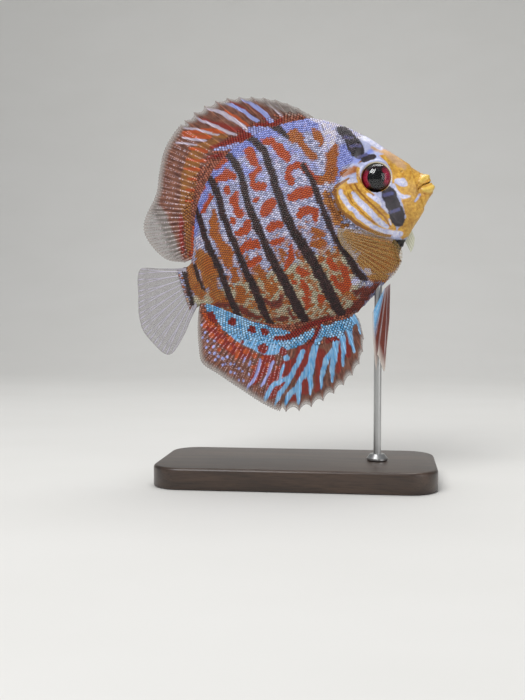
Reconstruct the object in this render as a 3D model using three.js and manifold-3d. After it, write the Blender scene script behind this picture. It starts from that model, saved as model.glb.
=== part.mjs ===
// Discus fish as a still, life-size display model, nose up on a plain one-rod stand.
// Millimetres, +Z up, the head towards +X. The origin is the middle of the stand's underside.
// The fish is drawn level in its own frame, where x runs from tail to mouth and z from belly to
// back, with its zero at the middle of the disc. One group then pitches it up over the stand.
import * as THREE from "three";
import { mergeVertices } from "three/addons/utils/BufferGeometryUtils.js";
import Module from "manifold-3d";

const wasm = await Module();
wasm.setup();

// Driving dimensions
const PITCH = THREE.MathUtils.degToRad(18); // nose up
const GAP = 0.3; // between pieces that touch
const BASE = { length: 132, width: 66, corner: 14, height: 10, bevel: 1.5 };
const ROD = { radius: 1.8, depthInBase: 6, depthInBelly: 7 };
const COLLAR = { radius: 5, height: 3 };
const FISH_HEIGHT = 118; // middle of the disc above the floor
const ROD_AT = [27.8, -38.2]; // where the rod meets the belly, in the fish's frame

// Outline of the flesh in side view, as heights over stations along the body
const SNOUT = 67.3;
const TAIL_ROOT = -58.5;
const BACK = [[-58.5, 2.3], [-54, 3.6], [-51, 9.5], [-47.5, 19], [-43, 29], [-36, 38], [-28, 45.2], [-19, 50],
  [-9, 52.7], [2, 54], [12, 53.3], [22, 51], [30, 46.4], [38, 40.4], [45, 33.4], [51, 25.8], [57, 17.7],
  [62, 11], [65, 7.9], [66.6, 6.1], [67.3, 4]];
const BELLY = [[-58.5, -18.3], [-54, -19], [-48, -23.5], [-41, -29.5], [-33, -35.5], [-23, -40.5], [-10, -43.6],
  [3, -45], [13, -45.4], [21, -42], [29, -37.4], [35, -34], [40, -30.6], [43, -27], [45, -22], [48, -18.4],
  [52, -14.6], [58, -9.6], [63, -4.6], [66, -1.8], [67.3, 1.4]];
// Half of the thickness at mid height, over the same stations
const HALF_WIDTH = [[-58.5, 2.4], [-50, 4.2], [-38, 7.4], [-22, 10.6], [-4, 12.4], [14, 13.2], [28, 13.3],
  [38, 12.2], [47, 10.2], [54, 7.9], [60, 5.7], [64, 4.4], [66.3, 3.1], [67.3, 1]];
// How sharply a section closes towards its top and bottom: 0.5 is an ellipse, more is a keel
const KEEL = [[-58.5, 0.6], [-40, 0.8], [0, 0.86], [25, 0.74], [45, 0.56], [67.3, 0.5]];
const BODY_STATIONS = 34;
const BODY_AROUND = 24;

const EYE = { x: 42.9, z: 12.3, radius: 7.1, depth: 5.2, y: 7.4 };
const GILL_DEPTH = 6; // how far from the middle plane a gill cover begins

// A smooth curve through [x, value] stations: cubic pieces whose slopes are those of their neighbours
function along(stations, x) {
  const last = stations.length - 1;
  if (x <= stations[0][0]) return stations[0][1];
  if (x >= stations[last][0]) return stations[last][1];
  let i = 0;
  while (stations[i + 1][0] < x) i++;
  const slope = (k) => {
    const a = stations[Math.max(k - 1, 0)];
    const b = stations[Math.min(k + 1, last)];
    return (b[1] - a[1]) / (b[0] - a[0]);
  };
  const [x0, y0] = stations[i];
  const [x1, y1] = stations[i + 1];
  const h = x1 - x0;
  const t = (x - x0) / h;
  const t2 = t * t;
  const t3 = t2 * t;
  return (2 * t3 - 3 * t2 + 1) * y0 + (t3 - 2 * t2 + t) * h * slope(i)
    + (3 * t2 - 2 * t3) * y1 + (t3 - t2) * h * slope(i + 1);
}

function meshFrom(positions, triangles) {
  const geometry = new THREE.BufferGeometry();
  geometry.setAttribute("position", new THREE.Float32BufferAttribute(positions, 3));
  geometry.setIndex(triangles);
  return geometry;
}

// A closed three.js geometry as a solid for joining and cutting, and back again
function solid(geometry) {
  const bare = geometry.clone();
  bare.deleteAttribute("normal");
  bare.deleteAttribute("uv");
  const merged = mergeVertices(bare, 1e-4);
  return new wasm.Manifold(new wasm.Mesh({
    numProp: 3,
    vertProperties: new Float32Array(merged.attributes.position.array),
    triVerts: new Uint32Array(merged.index.array),
  }));
}

function geometryOf(body) {
  const mesh = body.getMesh();
  return meshFrom(Array.from(mesh.vertProperties), Array.from(mesh.triVerts)).toNonIndexed();
}

// A side-view outline made into a slab across the fish, from one y to another
function slab(points, fromY, toY) {
  const shape = new THREE.Shape(points.map(([x, z]) => new THREE.Vector2(x, z)));
  const geometry = new THREE.ExtrudeGeometry(shape, { depth: toY - fromY, bevelEnabled: false });
  geometry.rotateX(Math.PI / 2).translate(0, toY, 0);
  return solid(geometry);
}

// The flesh in one piece, with lens-shaped sections that close into a keel along back and belly
function fleshGeometry(grow) {
  const positions = [];
  const triangles = [];
  for (let i = 0; i < BODY_STATIONS; i++) {
    const share = i / (BODY_STATIONS - 1);
    const eased = share - 0.16 * Math.sin(2 * Math.PI * share) / Math.PI; // closer near both ends
    const x = THREE.MathUtils.lerp(TAIL_ROOT, SNOUT, eased);
    const top = along(BACK, x) + grow;
    const bottom = along(BELLY, x) - grow;
    const width = along(HALF_WIDTH, x) + grow;
    const keel = along(KEEL, x);
    for (let j = 0; j < BODY_AROUND; j++) {
      const angle = (2 * Math.PI * (j + 0.5)) / BODY_AROUND;
      const out = Math.cos(angle);
      const y = Math.sign(out) * width * Math.abs(out) ** (2 * keel);
      const z = (top + bottom) / 2 + ((top - bottom) / 2) * Math.sin(angle);
      positions.push(x + (i === 0 ? -grow : i === BODY_STATIONS - 1 ? grow : 0), y, z);
    }
  }
  const at = (i, j) => i * BODY_AROUND + (j % BODY_AROUND);
  for (let i = 0; i + 1 < BODY_STATIONS; i++)
    for (let j = 0; j < BODY_AROUND; j++)
      triangles.push(at(i, j), at(i + 1, j + 1), at(i + 1, j), at(i, j), at(i, j + 1), at(i + 1, j + 1));
  for (const [i, turn] of [[0, 1], [BODY_STATIONS - 1, -1]])
    for (let j = 1; j + 1 < BODY_AROUND; j++)
      triangles.push(at(i, 0), at(i, turn > 0 ? j + 1 : j), at(i, turn > 0 ? j : j + 1));
  return meshFrom(positions, triangles);
}

// The main piece of a cut solid, without the crumbs that a slanting cut can leave
const mainPiece = (body) =>
  body.decompose().reduce((best, each) => (each.volume() > best.volume() ? each : best));

const ellipsoid = (x, y, z, rx, ry, rz) =>
  solid(new THREE.SphereGeometry(1, 20, 10).rotateX(Math.PI / 2).scale(rx, ry, rz).translate(x, y, z));

// Flesh and its divisions
const flesh = solid(fleshGeometry(0));
const fleshGrown = solid(fleshGeometry(GAP));
const HEAD_EDGE = [[29, 62], [25.5, 40], [23, 24], [21.2, 12], [21.8, 4], [25, -3], [30, -9.5], [36, -14.3],
  [42, -17.6], [47, -21], [52, -40]]; // nape, then round the back of the gill cover to the throat
const shifted = (points, dx, dz) => points.map(([x, z]) => [x + dx, z + dz]);
const ahead = [[90, -40], [90, 62]];
const headWhole = flesh.intersect(slab([...HEAD_EDGE, ...ahead], -30, 30));
const trunkWhole = flesh.subtract(slab([...shifted(HEAD_EDGE, -GAP, -GAP / 2), ...ahead], -30, 30));

const GILL_COVER = [[15, 17], [31, 17], [34.5, 12], [36.4, 6], [39.6, 0], [43.4, -6], [45.8, -11], [47.6, -16.5],
  [47, -40], [15, -40]]; // front edge along the cheek, and open behind, where the head ends anyway
const shrunk = (points, by) => points.map(([x, z]) => [x - by, z - by / 2]);
const gillCover = (side) => {
  const [near, far] = side < 0 ? [-30, -GILL_DEPTH] : [GILL_DEPTH, 30];
  const inset = side < 0 ? [near, far - GAP] : [near + GAP, far];
  return {
    hole: slab(GILL_COVER, near, far),
    plate: headWhole.intersect(slab(shrunk(GILL_COVER, GAP), ...inset)),
  };
};
const JAW = [[75, 3.3], [66, 2.9], [60.2, 1.4], [58.6, -2.4], [55.6, -8], [51.6, -13.4], [50.4, -20], [75, -20]];
const eyeBall = (side, grow) =>
  ellipsoid(EYE.x, side * EYE.y, EYE.z, EYE.radius + grow, EYE.depth + grow, EYE.radius + grow);
const right = gillCover(-1);
const left = gillCover(1);
const lowerJaw = headWhole.intersect(slab(shifted(JAW, GAP, -GAP), -30, 30));
const head = headWhole.subtract(right.hole).subtract(left.hole).subtract(slab(JAW, -30, 30))
  .subtract(eyeBall(-1, GAP)).subtract(eyeBall(1, GAP));

// The rod in the fish's frame, for its socket in the belly: world down leans back along the fish
const up = new THREE.Vector3(Math.sin(PITCH), 0, Math.cos(PITCH));
const rodHole = (() => {
  const geometry = new THREE.CylinderGeometry(ROD.radius + GAP, ROD.radius + GAP, 60, 24).rotateX(Math.PI / 2);
  geometry.rotateY(PITCH);
  const middle = ROD.depthInBelly + GAP - 30;
  geometry.translate(ROD_AT[0] + up.x * middle, 0, ROD_AT[1] + up.z * middle);
  return solid(geometry);
})();
const TAIL_CUT = -48;
const behind = [[-90, -60], [-90, 60]];
const trunk = trunkWhole.subtract(slab([...behind, [TAIL_CUT, 60], [TAIL_CUT, -60]], -30, 30)).subtract(rodHole);
const tailBase = trunkWhole.intersect(
  slab([...behind, [TAIL_CUT - GAP, 60], [TAIL_CUT - GAP, -60]], -30, 30));

// A fin between a root curve and a tip curve, with side giving the way it faces. Each of its teeth
// is a spine's tip and two steps of web cut in behind it, by the share of its height in notch.
const STEPS_PER_TOOTH = 3;
const curve = (points) =>
  new THREE.CatmullRomCurve3(points.map(([x, z, y = 0]) => new THREE.Vector3(x, y, z)), false, "centripetal");

function fin({ root, tip, across, out, rootHalf, edgeHalf, teeth = 0, notch = 0, side = new THREE.Vector3(0, 1, 0) }) {
  const rootLine = curve(root);
  const tipLine = curve(tip);
  const positions = [];
  const triangles = [];
  const row = out + 1;
  const sheet = (across + 1) * row;
  for (const face of [-1, 1])
    for (let i = 0; i <= across; i++) {
      const a = rootLine.getPointAt(i / across);
      const b = tipLine.getPointAt(i / across);
      if (i < teeth * STEPS_PER_TOOTH && i % STEPS_PER_TOOTH) b.lerp(a, notch);
      for (let j = 0; j <= out; j++) {
        const v = j / out;
        const half = THREE.MathUtils.lerp(rootHalf, edgeHalf, Math.sqrt(v));
        const p = a.clone().lerp(b, v).addScaledVector(side, face * half);
        positions.push(p.x, p.y, p.z);
      }
    }
  const at = (face, i, j) => face * sheet + i * row + j;
  const quad = (a, b, c, d) => triangles.push(a, b, c, a, c, d);
  for (let i = 0; i < across; i++)
    for (let j = 0; j < out; j++) {
      quad(at(1, i, j), at(1, i + 1, j), at(1, i + 1, j + 1), at(1, i, j + 1));
      quad(at(0, i, j), at(0, i, j + 1), at(0, i + 1, j + 1), at(0, i + 1, j));
    }
  for (let i = 0; i < across; i++) {
    quad(at(0, i, 0), at(0, i + 1, 0), at(1, i + 1, 0), at(1, i, 0));
    quad(at(1, i, out), at(1, i + 1, out), at(0, i + 1, out), at(0, i, out));
  }
  for (let j = 0; j < out; j++) {
    quad(at(1, 0, j), at(1, 0, j + 1), at(0, 0, j + 1), at(0, 0, j));
    quad(at(0, across, j), at(0, across, j + 1), at(1, across, j + 1), at(1, across, j));
  }
  const made = solid(meshFrom(positions, triangles));
  if (made.volume() > 0) return made;
  return solid(meshFrom(positions, triangles.reverse()));
}

// Unpaired fins stand in the middle plane, with their roots sunk in the flesh and cut back from it
const dorsalFin = fin({
  root: [[22.5, 48.5], [10, 50.5], [-4, 50], [-18, 46.5], [-30, 39.5], [-39, 30], [-45, 18], [-50.5, 5]],
  tip: [[24.2, 50.2], [17, 58], [8, 64.8], [-4, 70.2], [-17, 73.2], [-29, 71.6], [-40, 66.6], [-49, 59],
    [-55, 49.5], [-59.5, 40.5], [-68.5, 31], [-71, 25], [-69.5, 17], [-64.5, 8.5], [-56.5, 4.4]],
  across: 78, out: 2, rootHalf: 1.1, edgeHalf: 0.27, teeth: 12, notch: 0.1,
}).subtract(fleshGrown);
const analFin = fin({
  root: [[13.4, -43], [2, -42], [-12, -40.5], [-24, -37.5], [-34, -32], [-43, -25.5], [-50, -19.5], [-55, -16.5]],
  tip: [[15.4, -47.6], [14.8, -57], [9.6, -67.4], [1, -74.4], [-11, -79.4], [-24, -81.2], [-34, -78.6], [-42, -71.6],
    [-50, -62], [-58, -52], [-63.6, -44.6], [-62.6, -36.5], [-60.4, -28], [-57.6, -20.8]],
  across: 66, out: 2, rootHalf: 1.1, edgeHalf: 0.27, teeth: 11, notch: 0.08,
}).subtract(fleshGrown);
const caudalFin = fin({
  root: [[-56.5, 1.6], [-57, -4], [-57.2, -11], [-57, -17.4]],
  tip: [[-62, 3.2], [-70, 5.8], [-77.6, 8.4], [-80.6, 5.4], [-83.6, -4], [-86.2, -13.4], [-86.4, -20.6], [-83.6, -28.4],
    [-79.6, -35], [-76, -35.6], [-68, -29.4], [-61, -21.6]],
  across: 26, out: 2, rootHalf: 1.2, edgeHalf: 0.26,
}).subtract(fleshGrown);

// Paired fins, drawn for the left side, and mirrored for the right
const PECTORAL = {
  root: [[19.4, -4.6, 14.3], [18.2, -8.2, 14], [18.4, -12, 13.5]],
  tip: [[36, -12, 23], [41.2, -17.4, 25.6], [43.4, -24, 27], [40.4, -30.4, 26.4], [33, -34, 24], [26, -31.6, 20.4]],
  across: 14, out: 3, rootHalf: 0.45, edgeHalf: 0.28, side: new THREE.Vector3(-0.42, 0.9, 0.08).normalize(),
};
const PELVIC = {
  root: [[34.4, -36.2, 3.4], [32.6, -36.9, 3.5], [30.6, -38, 3.6]],
  tip: [[28.4, -53.6, 5.6], [20.4, -72.2, 7], [16.6, -71.6, 7], [15.6, -72.8, 7], [19.8, -56.6, 6], [22.4, -46.4, 4.8]],
  across: 15, out: 4, rootHalf: 0.8, edgeHalf: 0.3, side: new THREE.Vector3(0, 0.99, 0.1).normalize(),
};
const mirrored = ({ root, tip, side, ...rest }) => ({
  root: root.map(([x, z, y]) => [x, z, -y]),
  tip: tip.map(([x, z, y]) => [x, z, -y]),
  side: new THREE.Vector3(side.x, -side.y, side.z),
  ...rest,
});

// The stand
const onStand = new THREE.Group();
const fish = new THREE.Group();
fish.rotation.y = -PITCH;
fish.position.z = FISH_HEIGHT;
onStand.add(fish);
const world = (x, z) => new THREE.Vector3(x, 0, z).applyAxisAngle(new THREE.Vector3(0, 1, 0), -PITCH);
const rodTop = world(...ROD_AT).add(new THREE.Vector3(0, 0, FISH_HEIGHT + ROD.depthInBelly));
const rodFloor = BASE.height - ROD.depthInBase + GAP;

function baseSolid() {
  const { length, width, corner, bevel } = BASE;
  const x = length / 2 - bevel;
  const y = width / 2 - bevel;
  const shape = new THREE.Shape();
  shape.moveTo(-x + corner, -y);
  shape.lineTo(x - corner, -y);
  shape.absarc(x - corner, -y + corner, corner, -Math.PI / 2, 0);
  shape.absarc(x - corner, y - corner, corner, 0, Math.PI / 2);
  shape.absarc(-x + corner, y - corner, corner, Math.PI / 2, Math.PI);
  shape.absarc(-x + corner, -y + corner, corner, Math.PI, 1.5 * Math.PI);
  const geometry = new THREE.ExtrudeGeometry(shape, {
    depth: BASE.height - 2 * bevel, bevelThickness: bevel, bevelSize: bevel, bevelSegments: 2, curveSegments: 8,
  });
  geometry.translate(0, 0, bevel);
  const hole = new THREE.CylinderGeometry(ROD.radius + GAP, ROD.radius + GAP, 20, 24).rotateX(Math.PI / 2);
  hole.translate(rodTop.x, 0, rodFloor - GAP + 10);
  return solid(geometry).subtract(solid(hole));
}

function collarSolid() {
  const inner = ROD.radius + GAP;
  const low = BASE.height + GAP;
  const high = low + COLLAR.height;
  const profile = [[inner, low], [COLLAR.radius, low], [COLLAR.radius, low + 1], [COLLAR.radius - 1.6, high],
    [inner, high], [inner, low]];
  const geometry = new THREE.LatheGeometry(profile.map(([r, z]) => new THREE.Vector2(r, z)), 32);
  return solid(geometry.rotateX(Math.PI / 2).translate(rodTop.x, 0, 0));
}

const rodGeometry = new THREE.CylinderGeometry(ROD.radius, ROD.radius, rodTop.z - rodFloor, 24)
  .rotateX(Math.PI / 2).translate(rodTop.x, 0, (rodTop.z + rodFloor) / 2);

const finish = (color, roughness, metalness = 0) => new THREE.MeshStandardMaterial({ color, roughness, metalness });
const SKIN = finish(0xb8733a, 0.45);
const FACE = finish(0xd3a03c, 0.4);
const FIN = finish(0x8e4a34, 0.5);
const CLEAR_FIN = finish(0x9a938c, 0.5);
const IRIS = finish(0x6c1020, 0.15);
const WOOD = finish(0x2c211b, 0.45);
const STEEL = finish(0xb9b9b5, 0.3, 1);

function add(group, name, geometry, material) {
  const mesh = new THREE.Mesh(geometry, material);
  mesh.name = name;
  group.add(mesh);
}

for (const [name, body, material] of [
  ["head", head, FACE],
  ["lower_jaw", lowerJaw, FACE],
  ["gill_cover_right", right.plate, FACE],
  ["gill_cover_left", left.plate, FACE],
  ["trunk", trunk, SKIN],
  ["tail_base", tailBase, SKIN],
  ["eye_right", eyeBall(-1, 0), IRIS],
  ["eye_left", eyeBall(1, 0), IRIS],
  ["dorsal_fin", dorsalFin, FIN],
  ["anal_fin", analFin, FIN],
  ["caudal_fin", caudalFin, CLEAR_FIN],
  ["pectoral_fin_left", fin(PECTORAL).subtract(fleshGrown), CLEAR_FIN],
  ["pectoral_fin_right", fin(mirrored(PECTORAL)).subtract(fleshGrown), CLEAR_FIN],
  ["pelvic_fin_left", fin(PELVIC).subtract(fleshGrown), FIN],
  ["pelvic_fin_right", fin(mirrored(PELVIC)).subtract(fleshGrown), FIN],
]) add(fish, name, geometryOf(mainPiece(body)), material);

add(onStand, "stand_base", geometryOf(baseSolid()), WOOD);
add(onStand, "stand_collar", geometryOf(collarSolid()), STEEL);
add(onStand, "stand_rod", rodGeometry, STEEL);

export default onStand;
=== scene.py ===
import math
import bpy
import numpy as np
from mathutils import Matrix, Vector


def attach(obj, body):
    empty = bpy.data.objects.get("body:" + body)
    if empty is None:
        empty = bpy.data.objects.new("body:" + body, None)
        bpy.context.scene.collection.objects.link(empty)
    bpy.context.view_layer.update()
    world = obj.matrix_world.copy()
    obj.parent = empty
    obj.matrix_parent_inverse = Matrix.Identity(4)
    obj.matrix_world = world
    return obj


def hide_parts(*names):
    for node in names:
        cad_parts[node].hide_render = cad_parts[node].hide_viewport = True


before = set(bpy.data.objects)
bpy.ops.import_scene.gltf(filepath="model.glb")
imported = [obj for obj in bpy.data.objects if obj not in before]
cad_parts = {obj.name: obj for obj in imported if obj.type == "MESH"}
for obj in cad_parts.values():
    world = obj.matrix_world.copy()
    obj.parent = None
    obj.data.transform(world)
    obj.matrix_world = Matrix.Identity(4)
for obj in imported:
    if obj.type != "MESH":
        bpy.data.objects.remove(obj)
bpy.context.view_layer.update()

# Camera, standing on the fish's right and a little towards its head, almost level with it.
# It is a plain 50 mm lens, and it looks down by three degrees.
MM = 0.001
AIM = Vector((-17, 0, 62.5)) * MM
AIM_DISTANCE = 469 * MM
TOWARDS_HEAD = math.radians(7)
LOOK_DOWN = math.radians(3)

camera = bpy.data.objects.new("camera", bpy.data.cameras.new("camera"))
camera.data.lens = 50
camera.data.sensor_width = 36
camera.data.clip_start = 0.01
level = math.cos(LOOK_DOWN)
toward_camera = Vector((math.sin(TOWARDS_HEAD) * level, -math.cos(TOWARDS_HEAD) * level, math.sin(LOOK_DOWN)))
camera.location = AIM + toward_camera * AIM_DISTANCE
camera.rotation_euler = toward_camera.to_track_quat("Z", "Y").to_euler()
bpy.context.scene.collection.objects.link(camera)
bpy.context.scene.camera = camera


def linear(code):
    """The linear colour of an sRGB hex value."""
    shares = [int(code[i:i + 2], 16) / 255 for i in (1, 3, 5)]
    return [s / 12.92 if s <= 0.04045 else ((s + 0.055) / 1.055) ** 2.4 for s in shares] + [1.0]


def add(tree, kind, inputs=None, **settings):
    """Adds a node with its settings, and gives each named input its value or the socket that feeds it."""
    made = tree.nodes.new(kind)
    for name, value in settings.items():
        setattr(made, name, value)
    for name, value in (inputs or {}).items():
        if isinstance(value, bpy.types.NodeSocket):
            tree.links.new(value, made.inputs[name])
        else:
            made.inputs[name].default_value = value
    return made


def new_material(name):
    """A material with no nodes yet."""
    material = bpy.data.materials.new(name)
    material.use_nodes = True
    material.node_tree.nodes.clear()
    return material


def show(name, mesh, *materials):
    """A mesh as a shown object at the origin."""
    piece = bpy.data.objects.new(name, mesh)
    for material in materials:
        mesh.materials.append(material)
    bpy.context.scene.collection.objects.link(piece)
    return piece


# Floor and backdrop, one sheet of pale paper that sweeps up behind, under three soft lights.
# The paper is matt, so the model's soft shadow is all that shows on it.
PAPER_HALF_WIDTH = 2.2
PAPER_FRONT = -1.6
PAPER_BACK = 1.1
PAPER_TOP = 1.9
PAPER_SWEEP = 0.5

sweep = [(PAPER_FRONT, -0.0002), (PAPER_BACK - PAPER_SWEEP, -0.0002)]
for step in range(1, 17):
    turn = math.pi / 2 * step / 16
    sweep.append((PAPER_BACK - PAPER_SWEEP * (1 - math.sin(turn)), PAPER_SWEEP * (1 - math.cos(turn))))
sweep.append((PAPER_BACK, PAPER_TOP))
paper_mesh = bpy.data.meshes.new("paper")
paper_mesh.from_pydata(
    [(side * PAPER_HALF_WIDTH, y, z) for y, z in sweep for side in (-1, 1)], [],
    [(2 * i, 2 * i + 1, 2 * i + 3, 2 * i + 2) for i in range(len(sweep) - 1)])
paper_mesh.shade_smooth()
paper_finish = new_material("matt paper")
tree = paper_finish.node_tree
grain = add(tree, "ShaderNodeTexNoise", {"Scale": 40.0, "Detail": 3.0})
tone = add(tree, "ShaderNodeMix", {0: grain.outputs["Fac"], 6: linear("#d9d8d4"), 7: linear("#dfdedb")},
           data_type="RGBA")
shader = add(tree, "ShaderNodeBsdfPrincipled", {"Base Color": tone.outputs[2], "Roughness": 0.9})
add(tree, "ShaderNodeOutputMaterial", {"Surface": shader.outputs[0]})
paper = show("paper", paper_mesh, paper_finish)

for name, place, size, power in (
    ("key", (-0.35, -0.75, 0.95), 0.6, 9.5),
    ("fill", (0.9, -0.7, 0.35), 0.7, 2.6),
    ("top", (0.05, 0.25, 0.95), 0.6, 4.5),
):
    light = bpy.data.objects.new(name, bpy.data.lights.new(name, "AREA"))
    light.data.size = size
    light.data.energy = power
    light.location = place
    light.rotation_euler = (Vector(place) - Vector((0, 0, 0.11))).to_track_quat("Z", "Y").to_euler()
    bpy.context.scene.collection.objects.link(light)
world = bpy.data.worlds.new("studio")
world.use_nodes = True
world.node_tree.nodes["Background"].inputs["Color"].default_value = linear("#e4e6ea")
world.node_tree.nodes["Background"].inputs["Strength"].default_value = 0.3
bpy.context.scene.world = world
bpy.context.scene.view_settings.view_transform = "Standard"

# Skin over head, trunk and tail root, in one closed piece: wet, thin skin over muscle and bone.
# It is lofted through upright sections, and then the mouth, the gill cover's edge, the sockets of
# the eyes and the folds of the throat are pressed into it.

# Sizes are millimetres in the fish's own level frame, where x runs from tail to mouth and z from
# belly to back.
PITCH = math.radians(18)
FISH_HEIGHT = 118
SNOUT = 67.3
SNOUT_ROUND = 2.3
TAIL_ROOT = -58.5
TAIL_WEDGE = 3.0
BACK = [(-58.5, 2.3), (-54, 3.6), (-51, 9.5), (-47.5, 19), (-43, 29), (-36, 38), (-28, 45.2), (-19, 50),
        (-9, 52.7), (2, 54), (12, 53.3), (22, 51), (30, 46.4), (38, 40.4), (45, 33.4), (51, 25.8),
        (57, 17.7), (62, 11), (65, 7.9), (66.6, 6.1), (67.3, 4)]
BELLY = [(-58.5, -18.3), (-54, -19), (-48, -23.5), (-41, -29.5), (-33, -35.5), (-23, -40.5), (-10, -43.6),
         (3, -45), (13, -45.4), (21, -42), (29, -37.4), (35, -34), (40, -30.6), (43, -27), (45, -22),
         (48, -18.4), (52, -14.6), (58, -9.6), (63, -4.6), (66, -1.8), (67.3, 1.4)]
HALF_WIDTH = [(-58.5, 2.4), (-50, 4.2), (-38, 7.4), (-22, 10.6), (-4, 12.4), (14, 13.2), (28, 13.3),
              (38, 12.2), (47, 10.2), (54, 7.9), (60, 5.7), (64, 4.4), (66.3, 3.1), (67.3, 1)]
KEEL = [(-58.5, 0.6), (-40, 0.8), (0, 0.86), (25, 0.74), (45, 0.56), (67.3, 0.5)]
EYE = {"x": 42.9, "z": 12.3, "radius": 7.1, "y": 7.4}
COAT_DEPTH = 0.35
SKIN_INSET = 0.25
FLANK_STEP = 0.74
HEAD_STEP = 0.4
HEAD_FROM = 20
HALF_RING = 190
TAIL_RINGS = 6
SNOUT_RINGS = 25
TAIL_EDGE = 0.12
ARC_POINTS = 700


def to_world(points):
    """Points of the fish's level frame, in millimetres, as metres in the nose-up pose."""
    x, y, z = np.moveaxis(np.asarray(points, float), -1, 0)
    c, s = math.cos(PITCH), math.sin(PITCH)
    return np.stack([x * c - z * s, y, x * s + z * c + FISH_HEIGHT], -1) * MM


def turned(directions):
    """Directions of the fish's level frame in the nose-up pose."""
    return to_world(directions) - to_world(np.zeros(3))


def along(stations, x):
    """A smooth curve through (x, value) stations."""
    at, value = np.array(stations, float).T
    slope = np.gradient(value, at)
    slope[1:-1] = (value[2:] - value[:-2]) / (at[2:] - at[:-2])
    x = np.clip(x, at[0], at[-1])
    i = np.clip(np.searchsorted(at, x) - 1, 0, len(at) - 2)
    h = at[i + 1] - at[i]
    t = (x - at[i]) / h
    return ((2 * t**3 - 3 * t**2 + 1) * value[i] + (t**3 - 2 * t**2 + t) * h * slope[i]
            + (3 * t**2 - 2 * t**3) * value[i + 1] + (t**3 - t**2) * h * slope[i + 1])


def smooth(points, step):
    """Points (x, z, ...) along a smooth line through the given ones, about a step apart."""
    points = np.array(points, float)
    reach = np.concatenate([[0], np.cumsum(np.linalg.norm(np.diff(points[:, :2], axis=0), axis=1))])
    wanted = np.linspace(0, reach[-1], max(2, int(reach[-1] / step) + 2))
    return np.stack([along(list(zip(reach, column)), wanted) for column in points.T], -1)


# The painter's canvas is the side view of the fish, and a layer holds how much of one pigment,
# or how many millimetres of relief, lies at each place on it.
CELL = 0.2
CANVAS_LEFT, CANVAS_RIGHT = -92, 72
CANVAS_LOW, CANVAS_HIGH = -86, 78
canvas_x, canvas_z = np.meshgrid(
    np.arange(CANVAS_LEFT, CANVAS_RIGHT, CELL), np.arange(CANVAS_LOW, CANVAS_HIGH, CELL))


def stroke(layer, points, width=2.0, soft=0.6, strength=1.0):
    """Draws a brush stroke through (x, z) points, or (x, z, width) points where the brush swells."""
    full = [(*p, width)[:3] for p in points]
    for x, z, across in smooth(full, 0.4) if len(full) > 1 else full:
        reach = across / 2 + soft
        i0, i1 = [int((v - CANVAS_LOW) / CELL) for v in (z - reach, z + reach)]
        j0, j1 = [int((v - CANVAS_LEFT) / CELL) for v in (x - reach, x + reach)]
        window = slice(max(i0, 0), max(i1 + 2, 0)), slice(max(j0, 0), max(j1 + 2, 0))
        away = np.hypot(canvas_x[window] - x, canvas_z[window] - z)
        value = np.clip((across / 2 - away) / soft + 0.5, 0, 1)
        layer[window] = np.maximum(layer[window], strength * value * value * (3 - 2 * value))


def fill(layer, outline, soft=1.0, strength=1.0):
    """Fills an outline of (x, z) corners, with an edge that fades over soft."""
    corners = np.array(outline, float)
    away = np.full(layer.shape, 1e9)
    inside = np.zeros(layer.shape, bool)
    for (x0, z0), (x1, z1) in zip(corners, np.roll(corners, -1, 0)):
        run = np.clip(((canvas_x - x0) * (x1 - x0) + (canvas_z - z0) * (z1 - z0))
                      / ((x1 - x0) ** 2 + (z1 - z0) ** 2), 0, 1)
        away = np.minimum(away, np.hypot(canvas_x - x0 - run * (x1 - x0), canvas_z - z0 - run * (z1 - z0)))
        if z0 != z1:
            crossing = (z0 > canvas_z) != (z1 > canvas_z)
            inside ^= crossing & (canvas_x < (x1 - x0) * (canvas_z - z0) / (z1 - z0) + x0)
    value = np.clip(np.where(inside, away, -away) / soft + 0.5, 0, 1)
    np.maximum(layer, strength * value * value * (3 - 2 * value), out=layer)


def soft_noise(seed, size):
    """Smooth noise over the canvas, about -1 to 1, with lumps of that size."""
    raw = np.random.default_rng(seed).standard_normal(canvas_x.shape)
    waves = [np.fft.fftfreq(n, CELL) for n in raw.shape]
    blur = np.exp(-2 * (math.pi * size / 2.5) ** 2 * (waves[0][:, None] ** 2 + waves[1][None, :] ** 2))
    blurred = np.real(np.fft.ifft2(np.fft.fft2(raw) * blur))
    return blurred / (2 * blurred.std())


def sample(layer, x, z):
    """The layer's values at places on the canvas."""
    i = np.clip((z - CANVAS_LOW) / CELL, 0, layer.shape[0] - 1.001)
    j = np.clip((x - CANVAS_LEFT) / CELL, 0, layer.shape[1] - 1.001)
    i0, j0 = i.astype(int), j.astype(int)
    a, b = i - i0, j - j0
    return ((layer[i0, j0] * (1 - b) + layer[i0, j0 + 1] * b) * (1 - a)
            + (layer[i0 + 1, j0] * (1 - b) + layer[i0 + 1, j0 + 1] * b) * a)


# The canvas shows the fish as it looks from straight beside SEEN_FROM, at SEEN_AT from the middle
# plane, so what stands nearer the viewer lies a little further out on it.
SEEN_FROM = (28.6, -41.9)
SEEN_AT = 465


def as_seen(layer, places):
    """The layer's values at places (x, y, z) of the level frame."""
    x, y, z = np.moveaxis(places, -1, 0)
    nearness = np.abs(y) / SEEN_AT
    return sample(layer, x + (x - SEEN_FROM[0]) * nearness, z + (z - SEEN_FROM[1]) * nearness)


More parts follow.
